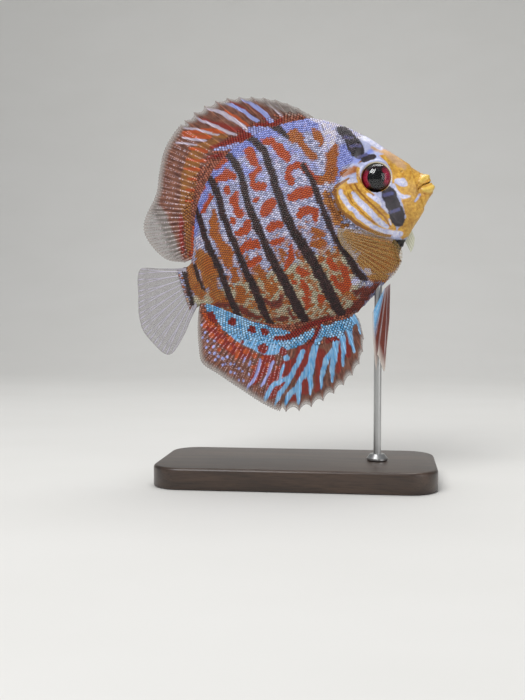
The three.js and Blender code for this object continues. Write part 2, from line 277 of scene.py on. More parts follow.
# Relief of the head. The gill cover stands proud of the flank and its front edge shows in the
# cheek. Lips, jaw fold, nostril and the pores of the snout are small, and the throat has a slit.
GILL_EDGE = [(25.5, 24), (22.6, 17), (21.4, 11), (22, 5), (25, -2), (30, -8.6), (36, -13.4), (42, -16.6),
             (47, -19)]
CHEEK_EDGE = [(31.5, 16.5), (34, 9.5), (37.5, 3), (41.2, -3.6), (43.6, -9.6), (48, -13.4)]
raised = np.zeros(canvas_x.shape)
sunk = np.zeros(canvas_x.shape)
fill(raised, [(30, 40), *GILL_EDGE, (60, -10), (60, 40)], soft=0.5, strength=0.55)
raised *= np.clip((26 - canvas_z) / 12, 0, 1)
stroke(sunk, [(x - 0.5, z - 0.2) for x, z in GILL_EDGE[1:]], 0.8, 0.5, 0.5)
stroke(sunk, CHEEK_EDGE, 0.5, 0.6, 0.45)
stroke(raised, [(x + 1.6, z + 0.6) for x, z in CHEEK_EDGE], 1.4, 1.6, 0.85)
stroke(sunk, [(42.4, -18.6), (43.6, -21.4), (43, -25.6)], 1.5, 1.2, 1.5)
stroke(raised, [(49, -16.8), (46.6, -19.8), (46, -23)], 1.2, 1.0, 0.5)
stroke(raised, [(66.4, 6.3), (64.6, 6.4), (62.2, 5.3)], 1.6, 1.8, 0.75)
stroke(raised, [(67.2, 0.7), (65.2, 0.4), (62.6, 0.8)], 1.8, 2.0, 0.95)
stroke(sunk, [(68.5, 3.4), (65.4, 3.4), (62.8, 3.2), (60.4, 2)], 0.5, 0.7, 1.5)
stroke(sunk, [(63.8, 9.4), (62.6, 7.4), (60.8, 4.8), (60, 1.4), (58, -1.6), (56.4, -4)], 0.35, 0.9, 0.5)
stroke(sunk, [(65.6, -2.6), (63.6, -1.6), (61.6, -0.4)], 0.4, 0.8, 0.4)
stroke(raised, [(58.6, 3.4), (57.6, 0.8), (55.6, -1.6)], 1.2, 1.6, 0.35)
stroke(raised, [(55.2, 12.4)], 1.9, 0.8, 0.22)
stroke(sunk, [(55.2, 12.4)], 0.8, 0.5, 0.8)
PORES = [(52.4, 17.6), (51.6, 21.4), (48.6, 25), (52.6, 5), (51.6, 1), (54.6, -6), (50.6, -10), (57, -5.4)]
for pore in PORES:
    stroke(sunk, [pore], 0.35, 0.4, 0.3)
socket = [(43.3, 13.6)]
stroke(raised, socket, 2 * EYE["radius"] + 2.6, 1.6, 0.75)
stroke(sunk, socket, 2 * EYE["radius"] - 0.6, 0.7, 5.0)
relief = raised - sunk

# How far the coat of scales reaches: not over snout, lips, brow, eye, cheek and gill cover.
bare = np.zeros(canvas_x.shape)
fill(bare, [(53, 45), (41, 31), (36, 24), (28, 18), *[(x + 1.2, z) for x, z in GILL_EDGE[2:]],
            (47, -40), (75, -40), (75, 45)], 5)

# Markings of the right flank and head, each pigment on a layer of its own, from the deepest up.
# Sky, sage and pearl are the shine of the skin's crystals, and the others are pigment over it, except
# the blue-grey streaks over the dark bars by the eye, which are partly the bars' own blue and partly
# painted highlight, and the near-black of the mouth's gap, nostril and gill slit, which is painted shade.
BODY_PIGMENTS = (
    ("sky", "#7484da", "#98a5ea"), ("sage", "#a9a890", "#cbc8b2"), ("tan", "#9c5f2a", "#b07434"),
    ("amber", "#bd6e22", "#8e4a1a"), ("ember", "#c9551a", "#9a3812"), ("wine", "#62271b", "#7c3324"),
    ("gold", "#eabb50", "#b97c26"), ("peach", "#d9b48c", "#c99a68"), ("pearl", "#f2f0fa", "#aab0e0"),
    ("ochre", "#8c561a", "#a46a22"), ("bar", "#1f1011", "#3c2122"), ("mask", "#19141a", "#352b35"),
    # The blue-grey sheen colours are partly painted highlight, and the near-black pit colours are painted
    # shade.
    ("sheen", "#4c5590", "#5e5470"), ("lip", "#f0cd66", "#dfb548"), ("pit", "#120b0a", "#1c1210"),
)
pigments = {name: np.zeros(canvas_x.shape) for name, *_ in BODY_PIGMENTS}
BODY_STROKES = {
    "sky": [
        [(26, 45, 6), (14, 49, 8), (2, 51, 8), (-9, 49, 8), (-19, 46.5, 8), (-28, 42, 8), (-36, 35, 7),
        (-43, 26, 5.5), (-47, 17, 3)], [(30, 25.4, 5), (33.4, 27, 7), (33.6, 31.4, 4)], [(25.8, 18.6, 2),
        (29, 24, 3)], [(36, 24.2, 3), (40, 24.6, 2), (45, 26, 2)], [(25.4, 11, 2.4), (26, 8, 2)],
        [(-18, -41, 2), (-25, -38.6, 2.6), (-33, -34.4, 2.8), (-41, -28.4, 2.8), (-49, -21.4, 2.4)]],
    "tan": [
        [(-47.4, 5, 6), (-45.4, -2.4, 8), (-46.4, -9, 6)], [(-54, 0.8, 5), (-54.4, -6, 6), (-53, -12, 4)],
        [(-46, -15, 6), (-44, -19, 5)], [(28, -22, 7), (34, -24, 12), (40, -24, 7)], [(23, -8, 4),
        (28, -14, 7), (36, -19, 8), (42, -22, 5)], [(27, -30, 3), (33, -32, 4)], [(19.6, 14, 2.6),
        (20, 7, 3), (20.6, 0, 4)]],
    "amber": [
        [(10.2, 45.6, 2.6), (13.8, 44.2, 4.4), (15.2, 41, 3), (17, 36.6, 3.4), (18.4, 33.4, 4),
        (19.8, 31.2, 2)], [(22.4, 44, 1.6), (24, 40, 2.6), (24.2, 36.4, 1.8)], [(29.6, 33.4, 3.2),
        (27.4, 29.6, 4.2), (25.6, 25.4, 4.4), (24, 21.6, 4.6), (20.4, 20.4, 3.4), (16.8, 22.2, 3.2)],
        [(-22.6, -9.6, 2.2), (-22, -13, 3.2), (-22.2, -16, 2.4)], [(-21.6, -18.6, 3), (-19, -21.6, 3)],
        [(-34.4, 23.2, 2), (-35.4, 19.6, 2.8), (-37, 16, 3.4), (-37, 11.4, 3.6), (-36, 6.4, 4.4),
        (-35, 2, 5), (-35.2, -2.6, 4)], [(-34, -6.6, 2.6), (-34.6, -11, 3)], [(-34, -17, 4),
        (-34.6, -21, 4.4)], [(-45.6, 2, 3.6), (-44.8, -3, 4)], [(9, -1, 2.6), (11.6, -4.4, 3)],
        # The stroke from (6.4, -7) to (10.6, -8.6) is painted shadow by the root of the pectoral fin.
        [(6.4, -7, 2.6), (10.6, -8.6, 3)], [(-9, -5, 2), (-8, -8, 2)], [(29.6, 20.2, 2.6),
        (35, 20.4, 2.4)], [(31, -22, 3), (34, -27, 3), (38, -25, 3)]],
    "ember": [
        [(-9.4, 44.4, 4.2), (-8.9, 41, 2.4), (-8.7, 38, 2.2)], [(-7.6, 35, 2.6), (-10.6, 33.4, 2.4),
        (-12.2, 30.4, 2.2), (-10.8, 27.8, 2.8), (-7.8, 26.6, 2.8)], [(-13.4, 22.2, 2)], [(-11.2, 14.8, 3),
        (-9, 16.8, 4.6), (-6.9, 19, 2.6)], [(-10.4, 7.2, 3.4), (-5.8, 7.2, 3.6)], [(-10.4, -0.6, 3),
        (-7.2, 0, 2.6)], [(-3.4, -5, 1.8), (-4.6, -9, 2.6), (-8, -12.4, 2.4), (-10.2, -14, 1.6)],
        [(-3.6, -17, 3), (-1.4, -19, 2.4)], [(-8, -21, 2)], [(-3.8, -22.6, 2.4), (-3.4, -29, 2.4)],
        [(-5, -31.4, 2.8), (-5.6, -34, 2.4)], [(1.4, -30.8, 2), (2, -33.4, 3.2)], [(-29.4, 45.4, 1.8),
        (-25.4, 43.6, 2.8), (-21.8, 45, 2)], [(-29, 37, 1.8), (-25.4, 37.4, 2.6), (-22.8, 38.8, 2.8),
        (-20.8, 36.6, 2.4), (-20.4, 34.8, 1.6)], [(-25.5, 31, 2.8)], [(-21.5, 27.6, 2.2),
        (-23.8, 25, 3.2), (-23.5, 21, 2.8), (-22, 18.2, 3.4)], [(-27, 16, 2.8)], [(-20.4, 12.4, 2.4),
        (-21.8, 10, 3.2), (-25.6, 9.4, 2.8)], [(-28, 0.6, 2.4), (-24.6, 2, 3.2), (-20.6, 1.8, 3.4),
        (-19.4, 0, 2)], [(-25.4, -6.4, 2.6), (-21, -5.6, 3)], [(-1.6, 47, 1.6), (2.4, 46, 2.6),
        (4, 42.6, 2.8), (5.4, 39, 3.2), (6.8, 36.8, 3)], [(5, 24.6, 2.4), (4.8, 28, 2.8), (7.4, 30.6, 3),
        (11.2, 30.6, 2.8), (13.8, 27.6, 2.6), (16.4, 22.8, 2.6)], [(3.2, 17.5, 3.4), (7.4, 17.6, 4.4),
        (11.8, 17.6, 3.6)], [(4.6, 7.8, 2.4), (6.2, 9.6, 3), (9.2, 9, 3.2), (10.8, 6.6, 2.8),
        (10.6, 4.2, 2)], [(10.6, -16, 2.2), (12, -19, 3), (13, -21.6, 2.6)], [(10.2, -25.4, 2.2),
        (12.4, -29, 3), (14.8, -31.2, 3.2), (16.6, -27.4, 3.2), (16.4, -22.4, 2.4)], [(-33.4, 31, 1.8),
        (-36.6, 28.6, 2.2), (-39.6, 25.4, 1.6)], [(-39, 35.8, 2.6), (-35.4, 36, 2.2)], [(-49.6, 16, 1.6),
        (-47.6, 20, 1.8)], [(-41.6, 30.6, 1.4), (-45, 26.6, 1.4)]],
    "wine": [
        [(29, -33.8, 3), (22, -38, 4), (14, -42, 4), (4, -43.8, 4), (-8, -42.8, 4), (-15, -41.4, 2.4)],
        [(-42.4, -29.4, 3)], [(-35, -34.6, 3)], [(-29.4, -38, 3.4)], [(-25, -25, 2), (-22.4, -28, 3.2),
        (-17.4, -28.6, 3.2), (-15.4, -26, 2.2)], [(-22, -35.6, 2.2), (-17, -37, 2.8)], [(-36.6, -25, 2.4),
        (-33.4, -29, 2.6), (-29.8, -32, 2.8)], [(-14, -33.4, 2), (-13.6, -38, 2.2)], [(18.6, -34.6, 3.4),
        (24, -36, 4)], [(-47, -20.6, 2.4), (-42, -21.6, 2.4)]],
    "pearl": [
        # The first pearl stroke, along the forehead's top edge, is partly the pale forehead and partly a
        # painted highlight of light from above catching that edge.
        [(24, 49.6, 3), (31, 45.8, 4.6), (38, 40, 4.6), (44, 33.6, 4.2), (49, 28, 3)], [(28, 43, 6),
        (29.6, 38.6, 6), (25.6, 34, 3)], [(47, 30, 4), (49.6, 26, 2.4)], [(52, 8.8, 2.6), (54, 7.6, 3.8),
        (55.6, 6, 1.6)], [(49.8, 7.6, 1.2), (50.6, 3.4, 1.6), (52.6, 1, 2), (55.4, 0.2, 1.2)],
        # The short pearl stroke from (57, -3) to (60.2, -0.6) is a painted highlight along the fold of the
        # jaw.
        [(57, -3, 0.6), (58.6, -2, 1), (60.2, -0.6, 0.6)], [(25.6, 12.6, 1.6), (26.2, 8.6, 2.4),
        (27.2, 4.6, 2.4), (29.8, -0.4, 2.2), (33, -5.4, 2.2), (36.6, -9.6, 2.2), (41, -12.8, 2.2),
        (46, -14.8, 1.8)], [(31, 10.4, 1.6), (31.8, 6.6, 2.6), (34.2, 1.8, 2.8), (36.8, -3.2, 2.6),
        (38.8, -7.2, 2.6), (41.2, -10.2, 1.8)], [(37, 7.4, 1.2), (39.8, 4.8, 2.4), (42, 1.6, 2.6),
        (43.4, -2, 2.2), (44.6, -5, 1.4)], [(30.4, 15.8, 2), (33, 15.4, 2.2)], [(21, 18.4, 1.6),
        (21.4, 14.6, 2)], [(43.4, -7, 0.9), (43.2, -9.6, 0.9)], [(46, -15.4, 2.4), (43, -15.2, 1.6)],
        [(27, -27.4, 3.2)], [(20, -29.4, 3)], [(50.6, -18.4, 1.2), (48, -22, 1)]],
    "ochre": [
        [(31, 17, 1), (27.4, 16.4, 1.4), (24, 14.8, 1.4), (22.8, 11, 1.6), (22.9, 6, 1.8), (25, 0.8, 1.8),
        (28.4, -4.2, 1.8), (31.8, -8.2, 1.6), (36, -11.8, 1.4), (41, -14.8, 1.2)], [(28.4, 12, 0.5),
        (29, 7.2, 0.5), (31, 2.2, 0.5), (34, -3.2, 0.5), (36.2, -6.6, 0.5)], [(32.8, 13.6, 1),
        (34.2, 9, 0.9), (36.4, 4, 0.9), (39.2, -1.2, 0.9), (41.8, -6.4, 0.8), (42.6, -10.4, 0.7)],
        [(30.6, 14, 0.6), (31.6, 10.6, 0.5)], [(35.4, 17.6, 0.6), (36.6, 10.6, 0.6), (40, 5.8, 0.5)],
        [(37.6, 22.4, 0.7), (41, 23.4, 1), (46, 23.4, 0.9)], [(62, 5.4, 0.5), (59.8, 3, 0.5),
        (58.6, 0.6, 0.4)], [(21.6, -3, 1.6), (24, -3.6, 1.2)]],
    "bar": [
        [(4, 55, 3), (6, 52, 3), (8.6, 48.4, 3), (9.8, 45.2, 2)], [(13, 30, 2), (14.2, 26, 2.4),
        (15, 20, 2.8), (15.4, 13, 3), (15.9, 5, 3), (16.2, 0, 3), (16.8, -6, 2.6), (18.6, -13, 2.4),
        (20.2, -18, 3.4), (21.6, -24, 3.4), (24, -30, 3)], [(-12, 56, 2.6), (-9, 53, 3), (-6, 49.4, 3),
        (-4, 46, 3), (-2.6, 42, 3.4), (-2.2, 34, 3.6), (-2.4, 25, 3.6), (-2.2, 15, 3.8), (-1.5, 8, 4),
        (-0.4, 1, 4.2), (1.6, -7, 4.4), (3.6, -15, 4.6), (5, -22, 4.6), (6.3, -30, 5), (7.6, -38, 5),
        (9, -42, 4)], [(-27, 50.4, 1.6), (-23.4, 49.4, 2.4), (-19.8, 47, 3), (-17.6, 42.4, 3.4),
        (-16.6, 36, 3.2), (-17, 30, 3.4), (-17.6, 23, 3.4), (-17.2, 15, 3.6), (-16.4, 7, 3.6),
        (-15.4, -1, 3.8), (-14.4, -9, 3.8), (-12.6, -17, 4), (-11.4, -25, 4.2), (-10.2, -33, 4.4),
        (-8.8, -40, 4)], [(-34, 40.6, 2.4), (-31.6, 38.6, 3), (-30.4, 34, 3), (-30.2, 28, 3),
        (-30.8, 20, 3), (-30.3, 11, 3), (-29.4, 2, 3), (-28.6, -7, 3), (-27.6, -16, 3.2),
        (-26.6, -26, 3.4), (-25.4, -35, 3.4), (-24.6, -40, 2.6)], [(-42.4, 27.6, 2.6), (-42.2, 20, 3),
        (-42.3, 10, 3), (-41.4, 3, 3), (-40.4, -5, 3), (-40, -14, 3), (-39.4, -22, 3), (-38.2, -30, 2.6)],
        [(-51.9, 2.4, 1.6), (-51.6, -5, 1.8), (-50.8, -11, 1.4)], [(-57.2, 1.4, 2.2), (-57.8, -7, 2.4),
        (-58.4, -16, 2.4)]],
    "mask": [
        [(34.2, 40.2, 2.6), (36, 38.4, 4.4), (37.6, 34.6, 5), (38.4, 31, 6.4), (38.8, 28.6, 6.4),
        (39, 26.4, 4.4)], [(40.6, 23.6, 3.4), (45, 23.2, 2.6)], [(46, 6.6, 4), (46.6, 3.6, 6.8),
        (46.8, 1.8, 5.8), (46.9, -0.6, 7), (47, -2.4, 5.8), (47.2, -5, 7.2), (47, -8.4, 6.4),
        (47.2, -9.8, 4)]],
    # Partly the dark bars' own blue and partly painted highlight: grey-blue streaks over the bars by the eye.
    "sheen": [
        [(44.4, 4.4, 1.6), (48, 4, 1.8)], [(44.6, -4, 1.2), (49, -4, 1.6)], [(38, 25.2, 1.2),
        (42, 25.4, 1.6)], [(35.6, 36, 1.4), (38.6, 34.6, 1.4)], [(37, 31, 1.2), (40.6, 30, 1.4)]],
    "lip": [
        [(66.6, 6.4, 2.4), (64.6, 6.4, 2.6), (62.6, 5.2, 1.6)], [(67.4, 0.6, 3), (65.2, 0.4, 3),
        (62.8, 1, 1.8)]],
    # Painted shade: near-black in the mouth's gap, in the nostril and in the slit of the throat.
    "pit": [
        [(69, 3.4, 0.5), (65.4, 3.4, 0.5), (63, 3.2, 0.3)], [(55.2, 12.4, 0.8)], [(42.2, -18.4, 1),
        (43.8, -21, 2.8), (43.4, -25.4, 1.6)]],
}
fill(pigments["sage"], [(-60, -12), (20, -12), (22, -36), (10, -50), (-30, -46), (-60, -24)], 10)
fill(pigments["gold"], [(47.6, 23), (53, 22.6), (58, 17), (64, 10), (71, 6), (71, -2), (60, -9),
                        (52, -17.5), (46, -18), (44, -14), (51, -9), (51.4, 0), (50.6, 8), (51, 14),
                        (50, 19)], 1.6)
fill(pigments["gold"], [(24, 15), (31, 17), (36, 12), (42, 4), (44.5, -5), (45, -12), (44, -15.5),
                        (38, -13.5), (31, -8.5), (25, -1), (22.6, 5), (22.4, 11)], 1)
stroke(pigments["gold"], [(50.4, 20, 1.6), (51.6, 14, 1.4), (50, 8.4, 1.2)], soft=1)
stroke(pigments["gold"], [(36.6, 20, 1.6), (35.2, 15, 1.8), (36, 10, 1.8), (39.4, 6.4, 1.4)], soft=0.8)
stroke(pigments["peach"], [(46, 27.4, 2.4), (51, 23.6, 3), (54.4, 18, 4), (57, 14, 3)], soft=3, strength=0.8)

# Over how many millimetres a pigment's edge fades, and how much wider its strokes are laid.
soft_edges = {"sky": 4, "tan": 4, "amber": 3, "ember": 2.6, "wine": 3.4, "bar": 2.4, "mask": 1.8,
              "pearl": 1.9, "ochre": 1.1, "peach": 3, "sheen": 2}
swells = {"amber": 1.25, "ember": 1.3, "tan": 1.2, "bar": 1.06}
for name, strokes in BODY_STROKES.items():
    for points in strokes:
        swollen = [(x, z, width * swells.get(name, 1)) for x, z, width in points]
        stroke(pigments[name], swollen, soft=soft_edges.get(name, 0.9))

# Between the blotches the flank is lavender above and dappled with brown below.
flank = np.clip((24 - canvas_x) / 6, 0, 1)
high = np.clip((canvas_z - 4) / 34, 0, 1) * flank
np.maximum(pigments["sky"], high * (0.4 + 0.28 * soft_noise(5, 2.4)), out=pigments["sky"])
low = np.clip((26 - canvas_z) / 40, 0.25, 1) * flank
np.maximum(pigments["amber"], low * (0.36 + 0.5 * soft_noise(7, 1.7)), out=pigments["amber"])
np.maximum(pigments["tan"], low * (0.24 + 0.34 * soft_noise(9, 2.6)), out=pigments["tan"])

# Painted shade fills the gill opening under the throat, where the membrane shadows the breast.
fill(pigments["pit"], [(41.8, -16.8), (47.4, -18.6), (46.6, -21.4), (45, -25), (42.8, -27.4), (43.4, -22),
                       (41.4, -18.8)], 1)

# Each blotch's edge wanders by up to about a millimetre, over lumps LUMP wide. Bars wander less,
# as does all on the head, and the left side's edges wander otherwise than the right side's.
EDGE_WANDER = 0.75
LUMP = 3.2
CALM = {"bar": 0.45, "mask": 0.5}


def wandered(layers, seed, wander=EDGE_WANDER):
    """The layers with their edges moved by smooth noise."""
    steady = np.clip((canvas_x - 24) / 10, 0, 1)
    move_x, move_z = (soft_noise(seed + n, LUMP) * wander * (1 - 0.75 * steady) for n in (0, 1))
    return {name: sample(layer, canvas_x + move_x * CALM.get(name, 1), canvas_z + move_z * CALM.get(name, 1))
            for name, layer in layers.items()}


body_layers = {side: wandered({**pigments, "bare": bare}, seed)
               for side, seed in (("right", 11), ("left", 23))}


def paint(mesh, places, layers):
    """Gives a mesh its share of each pigment, read at places (x, y, z) of the fish's level frame."""
    left = places[:, 1] > 0
    for name in layers["right"]:
        right_share, left_share = (as_seen(layers[side][name], places) for side in ("right", "left"))
        share = np.where(left, left_share, right_share)
        mesh.attributes.new(name, "FLOAT", "POINT").data.foreach_set("value", share)


# A pigment covers what is under it where its share and the grain together pass from COVER_FROM to
# COVER_TO, so that the grain tears its edge.
TEAR = 0.42
COVER_FROM = 0.42
COVER_TO = 0.96


def pigment_colour(tree, ground, ground_mottled, stack, grain):
    """The colour of skin whose pigments lie over a ground, each mottled by the same fine grain."""
    colour = add(tree, "ShaderNodeMix", {0: grain, 6: linear(ground), 7: linear(ground_mottled)},
                 data_type="RGBA").outputs[2]
    ragged = add(tree, "ShaderNodeMath", {0: grain, 1: TEAR}, operation="MULTIPLY").outputs[0]
    for name, plain, mottled in stack:
        share = add(tree, "ShaderNodeAttribute", attribute_name=name).outputs["Fac"]
        torn = add(tree, "ShaderNodeMath", {0: share, 1: ragged}, operation="ADD").outputs[0]
        cover = add(tree, "ShaderNodeMapRange", {"Value": torn, "From Min": COVER_FROM, "From Max": COVER_TO},
                    interpolation_type="SMOOTHSTEP").outputs["Result"]
        tone = add(tree, "ShaderNodeMix", {0: grain, 6: linear(plain), 7: linear(mottled)},
                   data_type="RGBA").outputs[2]
        colour = add(tree, "ShaderNodeMix", {0: cover, 6: colour, 7: tone}, data_type="RGBA").outputs[2]
    return colour


# Wet fish skin: satin under a thin wet film. A fine grain breaks up the pigment, and the skin under
# the scales is painted darker, as the shade in the gaps between them. The grain is drawn at 0.7 mm,
# to show at all.
SKIN_GRAIN = 0.7
wet_skin = new_material("wet fish skin")
tree = wet_skin.node_tree
place = add(tree, "ShaderNodeTexCoord").outputs["Object"]
fine = add(tree, "ShaderNodeTexNoise", {"Vector": place, "Scale": 1 / (SKIN_GRAIN * 2 * MM), "Detail": 3.0,
                                        "Roughness": 0.6}).outputs["Fac"]
grain = add(tree, "ShaderNodeMapRange", {"Value": fine, "From Min": 0.3, "From Max": 0.7}).outputs["Result"]
colour = pigment_colour(tree, "#a0a8d2", "#c6cae8", BODY_PIGMENTS, grain)
bareness = add(tree, "ShaderNodeAttribute", attribute_name="bare").outputs["Fac"]
patchy = add(tree, "ShaderNodeTexNoise", {
    "Vector": place, "Scale": 1 / (7 * MM), "Detail": 4.0}).outputs["Fac"]
uneven = add(tree, "ShaderNodeMapRange", {"Value": patchy, "From Min": 0.3, "From Max": 0.7, "To Min": 0.74,
                                          "To Max": 1.12}).outputs["Result"]
# Painted shade: where scales cover the skin it is darkened to 0.55, and bare skin keeps a patchy random tone.
shade = add(tree, "ShaderNodeMapRange", {
    "Value": bareness, "To Min": 0.55, "To Max": uneven}).outputs["Result"]
shaded = add(tree, "ShaderNodeVectorMath", {0: colour, "Scale": shade}, operation="SCALE").outputs[0]
bump = add(tree, "ShaderNodeBump", {"Height": fine, "Strength": 0.25, "Distance": 0.1 * MM}).outputs["Normal"]
shader = add(tree, "ShaderNodeBsdfPrincipled", {
    "Base Color": shaded, "Roughness": 0.36, "Specular IOR Level": 0.45, "Coat Weight": 0.25,
    "Coat Roughness": 0.16, "Normal": bump})
add(tree, "ShaderNodeOutputMaterial", {"Surface": shader.outputs[0]})


def body_rings():
    """x, y and z of the skin's right half, as rings of points from back to belly."""
    tail = TAIL_ROOT - TAIL_WEDGE * np.sin(np.linspace(math.pi / 2, 0, TAIL_RINGS, endpoint=False))
    flank = np.arange(TAIL_ROOT, HEAD_FROM, FLANK_STEP)
    head = np.arange(HEAD_FROM, SNOUT - SNOUT_ROUND, HEAD_STEP)
    snout = SNOUT - SNOUT_ROUND + SNOUT_ROUND * np.sin(np.linspace(0, math.pi / 2, SNOUT_RINGS))
    x = np.concatenate([tail, flank, head, snout])
    held = np.clip(x, TAIL_ROOT, SNOUT - SNOUT_ROUND)
    closing = np.sqrt(np.clip(1 - ((x - held) / np.where(x > 0, SNOUT_ROUND, TAIL_WEDGE)) ** 2, 0, 1))
    high, low = along(BACK, held), along(BELLY, held)
    middle, half = (high + low) / 2, (high - low) / 2 * np.where(x > 0, closing, 1)
    width = along(HALF_WIDTH, held) * np.where(x > 0, closing, TAIL_EDGE + (1 - TAIL_EDGE) * closing)
    turn = np.linspace(math.pi / 2, -math.pi / 2, ARC_POINTS)
    rings = []
    for at, mid, tall, wide, keel in zip(x, middle, half, width, along(KEEL, held)):
        y = -wide * np.clip(np.cos(turn), 0, 1) ** (2 * keel)
        z = mid + tall * np.sin(turn)
        run = np.concatenate([[0], np.cumsum(np.hypot(np.diff(y), np.diff(z)))])
        even = np.linspace(0, run[-1], HALF_RING)
        rings.append(np.stack([np.full(HALF_RING, at), np.interp(even, run, y), np.interp(even, run, z)], -1))
    return np.array(rings)


def ring_normals(rings):
    """Unit normals that point out of the right half."""
    normal = np.cross(np.gradient(rings, axis=0), np.gradient(rings, axis=1))
    normal[:, [0, -1], 1] = 0
    normal /= np.maximum(np.linalg.norm(normal, axis=-1, keepdims=True), 1e-9)
    if normal[len(normal) // 2, HALF_RING // 2, 1] > 0:
        normal = -normal
    normal[-1] = (1, 0, 0)
    return normal


smooth_rings = body_rings()
smooth_normals = ring_normals(smooth_rings)
lift = as_seen(relief, smooth_rings) - COAT_DEPTH * (1 - as_seen(bare, smooth_rings)) - SKIN_INSET
half_skin = smooth_rings + smooth_normals * lift[..., None]
half_skin[:, [0, -1], 1] = 0
left_half = half_skin[:-1, -2:0:-1] * (1, -1, 1)
ring_size = 2 * HALF_RING - 2
skin_points = np.concatenate([half_skin[:-1], left_half], 1).reshape(-1, 3)
skin_points = np.concatenate([skin_points, half_skin[-1:, HALF_RING // 2]])
ring_count = len(half_skin) - 1
skin_faces = []
for i in range(ring_count - 1):
    for j in range(ring_size):
        k = (j + 1) % ring_size
        here, ahead = i * ring_size, (i + 1) * ring_size
        skin_faces.append((here + j, here + k, ahead + k, ahead + j))
for j in range(HALF_RING - 1):
    mirror = [(ring_size - n) % ring_size for n in (j, j + 1)]
    skin_faces.append(tuple(dict.fromkeys((j + 1, j, mirror[0], mirror[1]))))
last = (ring_count - 1) * ring_size
for j in range(ring_size):
    skin_faces.append((last + j, last + (j + 1) % ring_size, ring_count * ring_size))
skin_mesh = bpy.data.meshes.new("skin")
skin_mesh.from_pydata(to_world(skin_points).tolist(), [], skin_faces)
skin_mesh.validate()
skin_mesh.shade_smooth()
paint(skin_mesh, skin_points, body_layers)
skin = show("skin", skin_mesh, wet_skin)
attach(skin, "root")
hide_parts("head", "lower_jaw", "gill_cover_right", "gill_cover_left", "trunk", "tail_base")

# Scales, thin round plates of bone in the skin, about 1.3 mm across on the flank and finer on
# nape and breast. Each is rooted under the ones in front of it, and its free edge
# lies towards the tail and stands a little proud. One plate is set on every root and made real.
PLATE_SIDES = 10
PLATE_RISE = 0.17
PLATE_SUNK = 0.06
PLATE_THICK = 0.05
PLATE_ROWS_LONG = 2.0
PLATE_OVERLAP = 1.16
PLATE_HEIGHT = 1.5
PATCH = 0.003
UV_MARGIN = 0.02
SHARE_OF_OWN_PLACE = 0.35
ROOT_SUNK = 0.04
EDGE_GAP = 0.35
ROW_STEP, SCALE_GAP = 0.98, 1.18
FINE_ROW_STEP, FINE_SCALE_GAP = 0.86, 1.0
PIECES_MEET = -12

plate_rings = [[(0.5, 0, 0.16, 0)]]
for share, height in ((0.6, 0.13), (1.0, 0.0)):
    ring = []
    for n in range(PLATE_SIDES):
        turn = 2 * math.pi * (n + 0.5) / PLATE_SIDES
        ring.append((0.5 + 0.5 * share * math.cos(turn), 0.5 * share * math.sin(turn), height, share))
    plate_rings.append(ring)
plate_points = [(x, y, h + PLATE_RISE * x - PLATE_SUNK) for ring in plate_rings for x, y, h, rim in ring]
plate_points.append((0.5, 0, PLATE_RISE * 0.5 - PLATE_SUNK - PLATE_THICK))
plate_faces = []
for n in range(PLATE_SIDES):
    m = (n + 1) % PLATE_SIDES
    plate_faces += [(0, 1 + n, 1 + m), (1 + n, 1 + PLATE_SIDES + n, 1 + PLATE_SIDES + m, 1 + m),
                    (1 + PLATE_SIDES + m, 1 + PLATE_SIDES + n, 1 + 2 * PLATE_SIDES)]
plate_mesh = bpy.data.meshes.new("plate")
plate_mesh.from_pydata(plate_points, [], plate_faces)
plate_mesh.shade_smooth()
rims = [rim for ring in plate_rings for *_, rim in ring] + [1.0]
plate_mesh.attributes.new("rim", "FLOAT", "POINT").data.foreach_set("value", rims)
plate_mesh.attributes.new("patch", "FLOAT_VECTOR", "POINT").data.foreach_set(
    "vector", np.array([(x - 0.5, y, 0) for x, y, z in plate_points]).ravel())
plate = show("plate", plate_mesh)

scaled = bpy.data.node_groups.new("scales over skin", "GeometryNodeTree")
for label, kind in (("Geometry", "Geometry"), ("Plate", "Object"), ("Patch", "Float"),
                    ("Material", "Material")):
    scaled.interface.new_socket(label, in_out="INPUT", socket_type="NodeSocket" + kind)
scaled.interface.new_socket("Geometry", in_out="OUTPUT", socket_type="NodeSocketGeometry")
given = add(scaled, "NodeGroupInput").outputs
root = {name: add(scaled, "GeometryNodeInputNamedAttribute", {"Name": name},
                  data_type="FLOAT_VECTOR").outputs[0]
        for name in ("outward", "lie", "size", "root_uv", "patch")}
heading = add(scaled, "FunctionNodeAxesToRotation",
              {"Primary Axis": root["outward"], "Secondary Axis": root["lie"]},
              primary_axis="Z", secondary_axis="X").outputs[0]
one_plate = add(scaled, "GeometryNodeObjectInfo", {"Object": given["Plate"]}).outputs["Geometry"]
set_out = add(scaled, "GeometryNodeInstanceOnPoints", {
    "Points": given["Geometry"], "Instance": one_plate, "Rotation": heading,
    "Scale": root["size"]}).outputs[0]
real = add(scaled, "GeometryNodeRealizeInstances", {"Geometry": set_out}).outputs[0]
spread = add(scaled, "ShaderNodeVectorMath", {0: root["patch"], "Scale": given["Patch"]},
             operation="SCALE").outputs[0]
spot = add(scaled, "ShaderNodeVectorMath", {0: root["root_uv"], 1: spread}, operation="ADD").outputs[0]
mapped = add(scaled, "GeometryNodeStoreNamedAttribute", {"Geometry": real, "Name": "OFBake", "Value": spot},
             data_type="FLOAT2", domain="CORNER").outputs[0]
finished = add(scaled, "GeometryNodeSetMaterial", {
    "Geometry": mapped, "Material": given["Material"]}).outputs[0]
add(scaled, "NodeGroupOutput", {"Geometry": finished})


def vector_attribute(mesh, name, values):
    """Gives a mesh a vector at each point."""
    attribute = mesh.attributes.new(name, "FLOAT_VECTOR", "POINT")
    attribute.data.foreach_set("vector", np.ascontiguousarray(values).ravel())


def uv_share(share):
    """A share of the way along the unwrap, kept off its edges."""
    return UV_MARGIN + (1 - 2 * UV_MARGIN) * share


